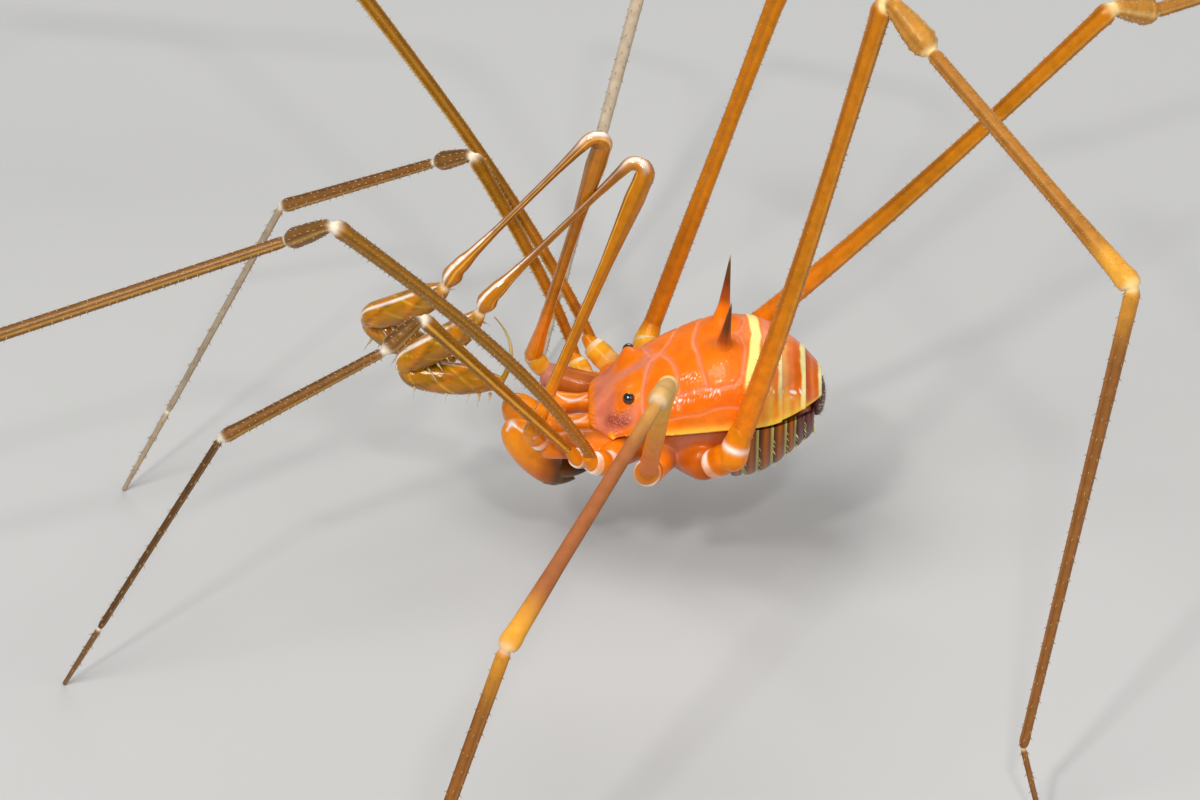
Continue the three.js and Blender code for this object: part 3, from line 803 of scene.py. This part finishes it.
def banded(begin, end, front):
    """Paints a free plate between two places: orange with a pale hind border."""

    def painter(points, x, turn):
        across = np.abs(points[:, 1])
        low = smooth(0.7, 0.97, across / back_sizes(x)[0])
        t = (x - begin) / (end - begin) + 0.03 * sin(5 * across) + 0.008 * sin(19 * across + 2)
        wave = 0.02 * sin(13 * across + 9 * x) * low
        lit = 0.5 + 0.5 * sin(21 * x + 2 * sin(3 * across))
        glint = smooth(0.2, 0.6, sin(23 * x + 4 * sin(9 * across)) * sin(26 * across + 5 * x))
        glint = glint * near_line(folded(points), 0.13, (2.5, -1.62), (3.05, -1.4))
        rim = near_rim(turn, 0.12)
        tint = coats(
            "f47408",
            (front, smooth(0.42, 0.1, t)),
            (SALMON, 0.6 * bell(t - 0.4, 0.07)),
            ("e05e06", 0.5 * bell(t - 0.64, 0.1)),
            ("fff0a0", smooth(0.76, 0.84, t)),
            ("ffa210", 0.85 * low),
            ("ffd860", 0.6 * low * lit),
            ("fffaf0", 0.95 * glint),
            ("ffd048", 0.85 * rim),
        )
        return tint, 0.24, wave + 0.05 * rim

    return painter


def build_tergites(skin):
    bm = bmesh.new()
    plate(bm, 2.35, 3.14, 60, 150, banded(2.38, 3.14, "f8a860"), 0.05)
    plate(bm, 3.12, 3.66, 50, 150, banded(3.14, 3.66, "d05a2c"), 0.05)
    keep("tergites", bm, skin, "tergites", "free_tergites")


def ball_points(lean, turn):
    return stack([sin(lean) * cos(turn), sin(lean) * sin(turn), cos(lean)], -1)


def build_operculum(skin):
    bm = bmesh.new()
    chance = random.Random(9)
    draw = chance.uniform
    middle = array([3.52, 0.0, 0.5])
    sizes = array([0.27, 0.74, 0.64])

    def rule(u, v):
        lean, turn = u * pi, v * FULL_TURN
        ball = ball_points(lean, turn)
        grain = 0.5 + 0.5 * sin(23 * turn + 3 * sin(5 * lean)) * sin(19 * lean)
        points = middle + ball * sizes + ball * (0.03 * grain)[:, None]
        return placed(points), mix("44262c", "7a4e56", grain * 0.6), 0.5

    wrap(bm, 40, 48, rule)
    for _ in range(90):
        way = ball_points(acos(draw(-0.9, 0.9)), draw(-1.5, 1.5))
        root = placed(middle + way * (sizes - 0.02))
        hair = stand_way(unit(way + array([0.5, 0, -0.2])))
        thorn(bm, root, hair, draw(0.1, 0.2), 0.012, "c8c0a0")
    keep("operculum", bm, skin, "operculum", "anal_operculum")


def build_eyes(glass):
    for name, side in SIDES.items():
        bm = bmesh.new()
        middle = array(centre(f"eye_{name}")) / MM
        rows = []
        for lean in linspace(0, pi, 25):
            bulge = 1.06 if lean > pi / 2 else 1
            rows.append((-cos(lean) * EYE_RADIUS * bulge, sin(lean) * EYE_RADIUS))
        out = stand_way(towards((90, 20), side))
        lathe(bm, middle, out, rows, 36, lambda along, turn: (np.zeros(3), 0.06), (1, 0, 0))
        keep(f"eye_bead_{name}", bm, glass, "eye", f"eye_{name}")


def fused(bm, grain, steps):
    """The same form made one skin: filled with fine cells, re-skinned and evened out."""
    mesh = as_mesh("fused", bm)
    obj = shown("fused", mesh)
    cells = obj.modifiers.new("cells", "REMESH")
    cells.mode = "VOXEL"
    cells.voxel_size = grain * MM
    even = obj.modifiers.new("even", "SMOOTH")
    even.factor = 0.5
    even.iterations = steps
    skinned = obj.evaluated_get(bpy.context.evaluated_depsgraph_get())
    made = bmesh.new()
    made.from_mesh(skinned.to_mesh())
    bpy.data.objects.remove(obj)
    bpy.data.meshes.remove(mesh)
    return made


def build_belly(skin):
    bm = bmesh.new()
    first, last = BELLY["x"]
    depth = array(BELLY["depth"])

    def rule(u, v):
        x = first + (last - first) * u
        half, rim, _ = back_sizes(x)
        k = (1 - np.abs(2 * u - 1) ** 4) ** 0.25
        turn = v * FULL_TURN
        side, up = cos(turn), sin(turn)
        ceiling = rim - 0.06
        plated = smooth(0.6, 1.0, x)
        bottom = interp(x, depth[:, 0], depth[:, 1]) + 0.3 * plated
        y = (half - 0.1 - 0.22 * plated) * k * np.sign(side) * np.abs(side) ** SIDE_POWER
        z = where(up > 0, ceiling * k, (ceiling + (bottom - ceiling) * np.abs(up) ** 0.9) * k)
        return placed(stack([x, y, z], -1)), np.zeros(3), 0.4

    wrap(bm, 60, 60, rule)
    for side in SIDES.values():
        for begin, end, radius in COXAE.values():

            def taper(segment, at, length):
                return radius * (1.02 - 0.16 * (at / length) ** 2)

            def plain(segment, at, length, turn):
                return np.zeros(3), 0.4, 0

            limb(bm, straight(sided(begin, side), sided(end, side), 0.08), taper, plain, 24, (1.0, 0.55))
    made = fused(bm, 0.045, 6)
    stood = array([vert.co for vert in made.verts])
    places = unstand(stood)
    x, y, z = places.T
    tint = coats(
        "b05a18",
        ("8a3a16", smooth(-0.6, -1.9, z)),
        ("ba7058", 0.9 * bell(np.hypot((x + 0.3) / 1.1, (np.abs(y) - 1.9) / 1.2), 0.8)),
    )
    for key, (_, end, radius) in COXAE.items():
        for side in SIDES.values():
            gap = norm(places - array(end) * (1, side, 1), axis=1)
            warm = "c05a08" if key == 4 else "f07c10"
            if side > 0 and key == "palp":
                warm = "c9806c"
            tint = mix(tint, warm, smooth(radius * 1.5, radius * 0.9, gap))
    paint(made, stood / MM, tint, 0.35 + 0.3 * smooth(0.5, 1.2, y) * smooth(-2.4, -3.2, x))
    sternites(made)
    keep("belly", made, skin, "belly", "venter")


# Where the plates under the hind body meet, and how low they hang there.
STERNITES = [(0.8, -1.98), (1.22, -1.96), (1.66, -1.86), (2.13, -1.6)]
STERNITES += [(2.55, -1.24), (2.84, -0.98), (3.1, -0.74), (3.4, -0.5)]
# Each plate's ground, its painted highlight band and its pale hind border.
BROWN_PLATE = ("4a1e06", "a4560e", "c4b468")
PURPLE_PLATE = ("3c1a1e", "6a3a3a", "7e5450")


def sternites(bm):
    """Plates under the hind body, edge to edge, dark with a painted highlight band across each,
    pale hind borders and short hairs.
    """
    chance = random.Random(21)
    steps = array(STERNITES)

    def shape(x, turn, swell):
        half, rim, _ = back_sizes(x)
        rim = rim - 0.05
        y = (half - 0.06 + swell) * np.sign(cos(turn)) * np.abs(cos(turn)) ** 0.7
        drop = interp(x, steps[:, 0], steps[:, 1]) - swell
        return stack([x, y, rim + (drop - rim) * np.abs(sin(turn)) ** 0.8], -1)

    for (x0, _), (x1, _) in zip(STERNITES, STERNITES[1:]):
        ground, light, border = PURPLE_PLATE if x0 > 2.8 else BROWN_PLATE

        def rule(u, v):
            turn = 0.02 + u * (pi - 0.04)
            ring = v * FULL_TURN
            along = 0.5 + 0.5 * cos(ring)
            fold = 0.1 * sin(pi * clip(along, 0, 1) ** 0.8) ** 0.7
            pinch = np.sqrt(clip(1 - (2 * u - 1) ** 30, 0, 1))
            x = x0 + (x1 + 0.02 - x0) * along
            places = shape(x, turn, where(sin(ring) > 0, fold * pinch, -0.15))
            # A painted highlight band across the middle of the plate, then its pale hind border.
            tint = coats(ground, (light, bell(along - 0.45, 0.22)), (border, smooth(0.7, 0.92, along)))
            return placed(places), tint, 0.3

        wrap(bm, 90, 40, rule)
        for _ in range(34):
            turn = chance.uniform(0.04, 0.96) * pi
            root = placed(shape(array([x1]), array([turn]), 0.02)[0])
            hair = stand_way(unit([0.6, cos(turn) * 0.8, -0.6]))
            thorn(bm, root, hair, chance.uniform(0.12, 0.2), 0.014, "e8dc9a")


# Ground, light line and dark line of each leg segment, from the femur outwards.
FRONT_TONES = (
    ("94600c", "e8a83c", "4e300c"),
    ("7c5426", "c89850", "48301a"),
    ("80552a", "d0a050", "4a3018"),
    ("5e4024", "a07850", "3c2818"),
    ("7a5636", "a88a64", "5a4028"),
)
HIND_TONES = (
    ("bc700c", "e8a030", "8a4c0c"),
    ("c28636", "f0c478", "8e5c24"),
    ("b07430", "dca854", "80521e"),
    ("96602e", "b88450", "70441e"),
    ("8a5c34", "ac8052", "64422a"),
)
CREAM = "fbeed6"
WARM_CREAM = "ffdf9c"


def leg_tone(number, pale=0.0, gold=0.0):
    """How a leg is coloured: thin light lines down a brown ground, orange at the root of the
    thigh, cream at the joints."""
    front = number < 3
    tones = FRONT_TONES if front else HIND_TONES
    root = {3: 0.4, 4: 0.8}.get(number, 0.35)
    milk = WARM_CREAM if number == 4 else CREAM

    def tone(segment, at, length, turn):
        tint = np.zeros((len(at), 3))
        for index, (ground, light, dark) in enumerate(tones):
            shade = mix(ground, dark, 0.7 * smooth(0.1, 1, sin(turn * 4 + 0.5)))
            shade = mix(shade, light, 0.9 * bell(sin(turn * 2 - 0.4), 0.09))
            tint = where((segment == index)[:, None], shade, tint)
        thigh, knee, shin, foot = (segment == index for index in range(4))
        lined = thigh * (1 - gold)
        far = length - at
        joint = where(segment > 0, bell(at, 0.08), 0) + where(segment < 3, bell(far, 0.12), 0)
        tint = coats(
            tint,
            (mix("ee7000", "f0b000", smooth(0.5, length, at)), gold * thigh),
            ("d0a460", gold * knee),
            (mix("c8924c", "a0603c", smooth(0.0, 2.2, at)), gold * shin),
            ("f07c0c", root * lined * smooth(7, 0, at)),
            ("f2b850", (0.75 if front else 0.3) * bell(sin(turn * 2.5 + 0.3), 0.1) * lined),
            ("4a2a0c", 0.45 * front * thigh * bell(cos(turn * 2.5 + 0.3), 0.2)),
            ("eca83c", 0.85 * shin * smooth(2.4, 0.5, far) * (not front)),
            ("d89434", 0.8 * foot * smooth(2.6, 0.2, at) * (not front)),
            (milk, clip(joint * (1 - 0.7 * gold), 0, 0.92)),
            ("c8bca6", pale * (segment >= 2.5)),
        )
        grain = where(knee, 0.05, 0.015)
        ripple = grain * sin(at * 23 + 3 * sin(turn * 3)) * sin(turn * 4 + at * 5)
        return tint, 0.3 + 0.15 * (segment >= 3), ripple * (1 - gold)

    return tone


def radius_rule(radii, neck=0.78):
    """Radius along each segment, narrowed at its ends and full just before the far joint."""

    def rule(segment, at, length):
        values = radii[segment]
        base = float(interp(at / max(length, 1e-6), linspace(0, 1, len(values)), values))
        pinch = 1.0
        if segment > 0:
            pinch -= (1 - neck) * bell(at, 0.14)
        if segment < len(radii) - 1:
            pinch -= (1 - neck) * bell(length - at, 0.12)
            pinch += 0.08 * bell(length - at - 0.36, 0.2)
        return base * pinch

    return rule


def trochanter(bm, root, ball, swell, outward, far, full):
    """The barrel in which a leg stands: a pale ring towards the body, a pale lip at the leg,
    and the round base of the thigh in it. A full barrel has a broad base and no pale lip."""
    axis = unit(ball - root)
    rings = straight(root - axis * 0.12, ball + axis * 0.2 * swell)
    ground, shade, milk = ("f6ac28", "e0921a", "f3e2bd") if far else ("f2840c", "c85c06", "fdf0e0")

    def radius(segment, at, length):
        t = at / length
        lip = 0.07 * bell(t - 0.86, 0.09) + 0.05 * bell(t - 0.14, 0.1)
        return swell * (0.84 + 0.14 * sin(pi * min(1, t * 1.1)) + lip)

    def tone(segment, at, length, turn):
        t = at / length
        body_ring = smooth(0.44 - 0.1 * full, 0.36 - 0.1 * full, t) * smooth(0.0, 0.06, t)
        ring = smooth(0.82, 0.87, t) * (1 - smooth(0.6, 1.0, full))
        ring = (ring + body_ring * (0.25 if far else 1.0)) * (0.62 + 0.38 * sin(turn * 2 + 1))
        tint = coats(ground, (shade, 0.6 * bell(t - 0.5, 0.18)), (milk, clip(ring, 0, 0.95)))
        return tint, 0.26, 0.012 * sin(turn * 9) * bell(t - 0.5, 0.3)

    limb(bm, rings, radius, tone, 40, (0.35, 0.3))

    def base_radius(segment, at, length):
        return swell * (0.74 + 0.22 * full - 0.28 * (at / length) ** 1.5)

    def base_tone(segment, at, length, turn):
        t = at / length
        band = smooth(0.6, 1.0, full) * bell(t - 0.42, 0.1) * (0.75 + 0.25 * sin(turn * 2))
        return coats(ground, ("e07c0c", smooth(0.2, 0.9, t)), (milk, 0.95 * band)), 0.26, 0

    base = straight(ball - outward * 0.1, ball + outward * (0.45 + 0.5 * full))
    limb(bm, base, base_radius, base_tone, 30, (1.0, 0.5))


def leg_hairs(bm, rings, skin, seed, bare):
    """Rows of short pale-tipped spikes down a leg, finer and more sloping on the foot."""
    chance = random.Random(seed)
    draw = chance.uniform
    for row in range(8):
        run = 0.0
        due = draw(0.2, 0.5)
        for spot in range(8, len(rings) - 8):
            run += float(norm(rings[spot, :3] - rings[spot - 1, :3]))
            segment, at, length = rings[spot, 3:]
            if run < due or min(at, length - at) < 0.2:
                continue
            # How sparse they are, their least and greatest length, and how far they slope.
            gap, short, long, slope = (3, 0.1, 0.17, 0.9) if segment >= 3 else (1, 0.08, 0.13, 0.25)
            due = run + draw(0.17, 0.27) * gap
            turn = row * pi / 4 + draw(-0.2, 0.2)
            reach = draw(short, long)
            if bare and segment < 3:
                continue
            root, out, ahead = skin_spot(rings, skin, spot, turn, 0.93)
            tip = "ecdcbc" if segment in (1, 2) else "c8ac7c"
            thorn(bm, root, unit(out + ahead * slope), reach, 0.02, "a87838", tip, 5)


def build_leg(skin, name, number):
    side = SIDES[name]
    leg = LEGS[number]
    poses = POSE[name][number]
    golden = (name, number) == ("left", 3)
    ball = sided(leg["ball"], side)
    joints = chain(ball, poses, leg["lengths"], side)
    # The tarsus comes last and ends just above the floor.
    last = towards(poses[4], side)
    joints.append(joints[-1] + last * (joints[-1][2] / -last[2]) + array([0, 0, TOE_HEIGHT]))
    bm = bmesh.new()
    full = {3: 0.5, 4: 1.0}.get(number, 0.0)
    trochanter(bm, sided(leg["root"], side), ball, leg["swell"], unit(joints[1] - ball), side > 0, full)
    reaches = [1.12 * leg["radii"][0][-1], 1.12 * leg["radii"][1][-1], 0.28, 0.2]
    rings = rings_along(joints, reaches)
    if (name, number) in BOWS:
        rings = bowed(rings, 0, *BOWS[(name, number)])
    pale = {("right", 3): 0.8, ("right", 1): 0.5, ("right", 2): 0.4}.get((name, number), 0.0)
    tone = leg_tone(number, pale, 0.9 if golden else 0.0)
    surface = limb(bm, rings, radius_rule((*leg["radii"], TARSUS_RADII)), tone, 18, (0.6, 0.9))
    leg_hairs(bm, rings, surface, number * 7 + side, golden)
    nodes = [f"leg_{name}_{number}_{part}" for part in LEG_PARTS]
    keep(f"leg_{name}_{number}", bm, skin, "femur", *nodes)


def palp_tone(spots, highlight_turn):
    """Amber, browner on the thin middle part, with painted shade: brown on the sides turned from the
    highlight and dark olive inside the claws. Light lines painted as highlights give it a glassy
    look, and a painted white highlight runs along the highlight turn and over each knee. The
    highlight turn is given at each spot along the limb."""

    def tone(segment, at, length, turn):
        off = turn - interp(segment * 100 + at, spots, highlight_turn)
        gap = np.abs((off + pi) % FULL_TURN - pi)
        thigh, thin, knob, palm = (segment == index for index in range(4))
        claws = segment >= 3
        far = length - at
        joint = where(palm, bell(at, 0.1), 0) + where(knob, bell(far, 0.07), 0)
        # Where the painted white highlight falls: a patch over each knee and a line along the highlight
        # turn.
        knee = where(thin, bell(at, 0.5), 0) + where(thigh, bell(far, 0.18), 0)
        line = knob + thin * (0.25 + smooth(2.4, 0.6, far))
        line = line + palm * smooth(0.1, 0.3, at) * (1 - 0.8 * bell(at - 1.0, 0.12))
        edge = where(palm, 0.15, 0.27) * (1 + 0.12 * sin(at * 11 + 2 * sin(at * 4)))
        white = smooth(edge, 0.6 * edge, gap) * line + 0.9 * knee * bell(gap, 0.45)
        tint = coats(
            "b8700a",
            ("f08408", 0.95 * thigh * smooth(3.0, 0.8, at)),
            ("7a4a0c", 0.7 * thigh * smooth(1.0, 2.4, at) * bell(sin(turn * 2 + 1), 0.3)),
            ("5a3208", 0.6 * thigh * bell(sin(turn * 2.5 + 1), 0.14)),
            ("7a4814", 0.8 * thin * smooth(0.2, 0.9, at) * smooth(0.1, 2.2, far)),
            ("ac7408", 0.75 * claws),
            # Painted shade on the sides turned from the highlight, then light lines painted as
            # highlights.
            ("6a3c0a", 0.6 * smooth(1.1, 2.4, gap) * smooth(0.2, 1.5, at + 9 * (segment > 0))),
            ("f6b848", 0.75 * bell(sin(turn * 3 + 0.6), 0.11) * (segment < 3)),
            ("d87808", 0.6 * claws * bell(sin(at * 2.2 + turn), 0.35)),
            ("f0c040", 0.5 * claws * bell(sin(at * 3.1 - 2 * turn), 0.12)),
            ("4c3004", 0.55 * claws * bell(sin(at * 1.7 + 2 * turn + 1), 0.25)),
            # Painted shade: dark olive on the inner faces of the claws.
            ("3a3c0c", 0.75 * claws * smooth(2.1, 2.6, gap)),
            ("f6dcae", clip(0.7 * joint, 0, 0.9)),
            # The painted white highlight along the highlight turn and over the knees.
            ("fff2e2", clip(white, 0, 0.92)),
        )
        return tint, 0.14, 0.012 * sin(turn * 6) * (segment < 3)

    return tone


def build_palp(skin, name):
    side = SIDES[name]
    bm = bmesh.new()
    ball = sided(PALP["ball"], side)
    joints = chain(ball, PALP_POSE[name], PALP["lengths"], side)
    root = ball + stand_way((0.24, -0.05 * side, -0.44))
    trochanter(bm, root, ball, 0.33, unit(joints[1] - ball), side > 0, 0.4)
    tibia, tarsus = joints[3] - joints[2], joints[4] - joints[3]
    across = unit(np.cross(tibia, tarsus))
    inner = np.cross(across, unit(tibia))
    rings = rings_along(joints[:2] + [joints[2] + array(CLUB)] + joints[2:], [0.33, 0.3, 0.2, 0.38])
    rings = bowed(rings, 3, inner, 0.2)
    _, up, beside = ring_frames(rings[:, :3])
    # The turn where the palp's painted highlight runs: up and towards the camera on the thigh and knee,
    # outwards and towards the camera on the claws.
    lower = unit(0.55 * VIEW - inner)
    upper = unit((0, 0, 1) + 0.6 * VIEW)
    way = where((rings[:, 3] >= 3)[:, None], lower, upper)
    highlight_turn = np.unwrap(np.arctan2((way * beside).sum(1), (way * up).sum(1)))
    tone = palp_tone(rings[:, 3] * 100 + rings[:, 4], highlight_turn)
    surface = limb(bm, rings, radius_rule(PALP["radii"], 0.98), tone, 32, (0.6, 0.6))
    rows = [(joints[2], tibia, inner), (joints[3], tarsus, np.cross(unit(tarsus), across))]
    for begin, run, inward in rows:
        for index in range(8):
            for lean in (-1, 1):
                way = unit(inward + across * lean * 0.8)
                start = begin + run * (index + 1.0) / 8.8 + way * 0.38
                thorn(bm, start, way, (0.62, 0.36, 0.5)[index % 3], 0.06, "b07c28", "fff6d8", 10, 0.05)
    chance = random.Random(5 + side)
    for _ in range(200):
        spot = chance.randrange(10, len(rings) - 6)
        start, out, ahead = skin_spot(rings, surface, spot, chance.uniform(0, FULL_TURN), 0.95)
        thorn(bm, start, unit(out + ahead * 0.6), chance.uniform(0.06, 0.16), 0.009, "c8a460", None, 5)
    claw(bm, joints[4], towards(CLAW[name], side), unit(tarsus))
    nodes = [f"palp_{name}_{part}" for part in ("femur", "patella", "tibia", "tarsus")]
    keep(f"palp_{name}", bm, skin, "palp", *nodes)


def claw(bm, root, way, bulge):
    """The long curved claw at the end of a palp."""
    way = unit(way)
    out = unit(bulge - way * (bulge @ way))
    rings = []
    for t in linspace(0, 1, 26):
        place = root + way * CLAW_LENGTH * t + out * (0.42 * 4 * t * (1 - t))
        rings.append((*place, 0, CLAW_LENGTH * t, CLAW_LENGTH))

    def tone(segment, at, full, turn):
        return mix("a8801c", "b4aa74", smooth(0.1, 0.7, at / full)), 0.15, 0

    limb(bm, array(rings), lambda segment, at, full: 0.1 * (1 - 0.8 * at / full), tone, 14, (0.8, 1.5))


def build_chelicera(skin, name):
    """A waisted first segment that looks very glossy through a painted white highlight along its top,
    and the big hand that hangs from it, with a painted highlight line and its two dark fingers below the
    mouth."""
    side = SIDES[name]
    bm = bmesh.new()

    def base_radius(segment, at, length):
        return 0.32 + 0.13 * abs(2 * at / length - 0.9) ** 1.6

    def base_tone(segment, at, length, turn):
        t = at / length
        off = (turn - 0.2 + pi) % FULL_TURN - pi
        inside = smooth(0.5, 0.9, turn / pi) * smooth(1.5, 1.2, turn / pi)
        # A painted white highlight: a thin line that curves along the top of the segment, lower in its
        # middle.
        swing = sin(pi * clip((t - 0.2) / 0.72, 0, 1))
        glow = bell(off + 0.85 * swing**0.7, 0.04 + 0.08 * swing)
        glow = glow * smooth(0.22, 0.3, t) * smooth(1.02, 0.9, t)
        tint = coats(
            "f28408",
            ("c4540a", smooth(0.9, 2.2, np.abs(off))),
            ("e2926c", 0.8 * inside),
            ("fff8f0", 0.95 * glow),
        )
        return tint, 0.32, 0

    rings = straight(*(sided(point, side) for point in JAW["base"]))
    limb(bm, rings, base_radius, base_tone, 48)
    keep(f"chelicera_{name}_stalk", bm, skin, "chelicera", f"chelicera_{name}_base")
    bm = bmesh.new()
    middle = array(JAW["hand"]) * (1, side, 1)
    cos_tilt, sin_tilt = cos(JAW["tilt"]), sin(JAW["tilt"])
    # The painted white highlight line over the hand, along the view and up it, and its dense middle.
    run = linspace(0, 2, 40)
    mark = [interp(run, range(3), column) for column in array(JAW["gloss"][name]).T]
    mark = stack([mark[0], 0 * run, mark[1]], -1)

    def rule(u, v):
        lean, turn = u * pi, v * FULL_TURN
        x = cos(lean)
        ring = sin(lean) ** 0.85 * (1 - 0.1 * x)
        y, z = 0.52 * ring * cos(turn), 0.68 * ring * sin(turn)
        x = 1.5 * x
        turned = stack([x * cos_tilt + z * sin_tilt, y, z * cos_tilt - x * sin_tilt], -1)
        seen = stack([turned[:, 0], 0 * x, 0.64 * y + 0.77 * turned[:, 2]], -1)
        low = smooth(0.25, -0.35, seen[:, 2])
        back = seen[:, 0] - 0.3 * seen[:, 2]
        gloss = bell(distance(seen, mark), 0.032) + 0.8 * bell(distance(seen, mark[18:22]), 0.1)
        tint = coats(
            "f28a08",
            ("c85a06", smooth(0.3, -1.1, turned[:, 2])),
            ("a45006", smooth(0.1, 0.7, back) * low),
            ("542c08", smooth(0.6, 1.0, back) * low),
            ("ff9c14", 0.6 * bell(x + 0.9, 0.5)),
            ("fffaf2", 0.95 * clip(gloss, 0, 1)),
        )
        return placed(middle + turned), tint, 0.13

    wrap(bm, 70, 64, rule)
    for finger in JAW["fingers"]:
        start, tip = (sided(point, side) for point in finger)
        length = float(norm(tip - start))
        rows = [(0, 0)] + [(length * t, 0.36 * (1 - t**2.4)) for t in linspace(0, 1, 24)]

        def finger_tone(along, turn):
            return mix("6c3a0c", "3c2410", smooth(0.2, 0.9, along / length)), 0.24

        lathe(bm, start, tip - start, rows, 24, finger_tone)
    keep(f"chelicera_{name}_claw", bm, skin, "chelicera", f"chelicera_{name}_hand")


def build_floor():
    bm = bmesh.new()
    bmesh.ops.create_grid(bm, x_segments=40, y_segments=40, size=0.6)
    mesh = as_mesh("floor", bm)
    floor = shown("floor", mesh)
    tones = (0.5, 0.495, 0.48), (0.53, 0.525, 0.51)
    mesh.materials.append(clouded_material("floor", 60, *tones, {"Roughness": 0.8}))


def lamp(name, place, size, power):
    light = bpy.data.lights.new(name, "AREA")
    light.shape = "RECTANGLE"
    light.size, light.size_y = size[0] * MM, size[1] * MM
    light.energy = power
    obj = shown(name, light)
    obj.location = Vector(place) * MM
    aim = Vector(MIDDLE.tolist()) - obj.location
    obj.rotation_euler = aim.to_track_quat("-Z", "Y").to_euler()


def build_light():
    world = bpy.data.worlds.new("studio")
    bpy.context.scene.world = world
    world.use_nodes = True
    sky = world.node_tree.nodes["Background"]
    sky.inputs["Color"].default_value = (0.95, 0.97, 1.0, 1)
    sky.inputs["Strength"].default_value = 0.26
    lamp("key", (-60, -80, 190), (90, 60), 0.25)
    lamp("flash", (-45, -120, 150), (14, 8), 0.08)
    lamp("second flash", (20, -125, 145), (12, 7), 0.06)
    lamp("fill", (120, -60, 120), (120, 120), 0.06)
    lamp("rim", (30, 150, 110), (120, 60), 0.09)
    bpy.context.scene.view_settings.view_transform = "Standard"


def build_camera():
    """Looks across the animal's left side, with the body's middle right of the picture's own."""
    back = Vector((0, -cos(CAMERA_RISE), sin(CAMERA_RISE)))
    up = Vector((0, sin(CAMERA_RISE), cos(CAMERA_RISE)))
    aside, above = (shift / POINTS_PER_MM * MM for shift in PICTURE_SHIFT)
    aim = Vector(MIDDLE.tolist()) + Vector((aside, 0, 0)) + up * above
    data = bpy.data.cameras.new("camera")
    data.sensor_width = 36
    data.lens = 36 * CAMERA_REACH / (PICTURE_WIDTH / POINTS_PER_MM)
    data.clip_start = 0.001
    camera = shown("camera", data)
    camera.location = aim + back * CAMERA_REACH * MM
    camera.rotation_euler = (pi / 2 - CAMERA_RISE, 0, 0)
    bpy.context.scene.camera = camera


def build():
    # Grain and relief scale, relief depth, speckle, coat, light let through, and refraction.
    shell = skin_material("shell", 2500, 7000, 0.03, 0.1, 0.16, 0.12, 1.4)
    leg_skin = skin_material("leg_skin", 3000, 12000, 0.01, 0.14, 0.04, 0.12, 1.33)
    clear_skin = skin_material("clear_leg_skin", 3000, 12000, 0.01, 0.1, 0.0, 0.2, 1.1)
    amber = skin_material("amber", 2500, 9000, 0.008, 0.15, 0.5, 0.25, 1.4)
    dull = skin_material("dull", 2500, 9000, 0.015, 0.2, 0.1, 0.1, 1.4)
    wet = {"Roughness": 0.1, "IOR": 1.6, "Coat Weight": 1.0, "Coat IOR": 1.6, "Coat Roughness": 0.04}
    eye = clouded_material("eye", 6000, (0.002, 0.002, 0.003), (0.012, 0.008, 0.008), wet)
    build_shield(shell)
    build_tergites(shell)
    build_operculum(dull)
    build_eyes(eye)
    build_belly(shell)
    for name in SIDES:
        build_chelicera(shell, name)
        build_palp(amber, name)
        for number in LEGS:
            build_leg(clear_skin if (name, number) == ("left", 3) else leg_skin, name, number)
    build_floor()
    build_light()
    build_camera()


build()
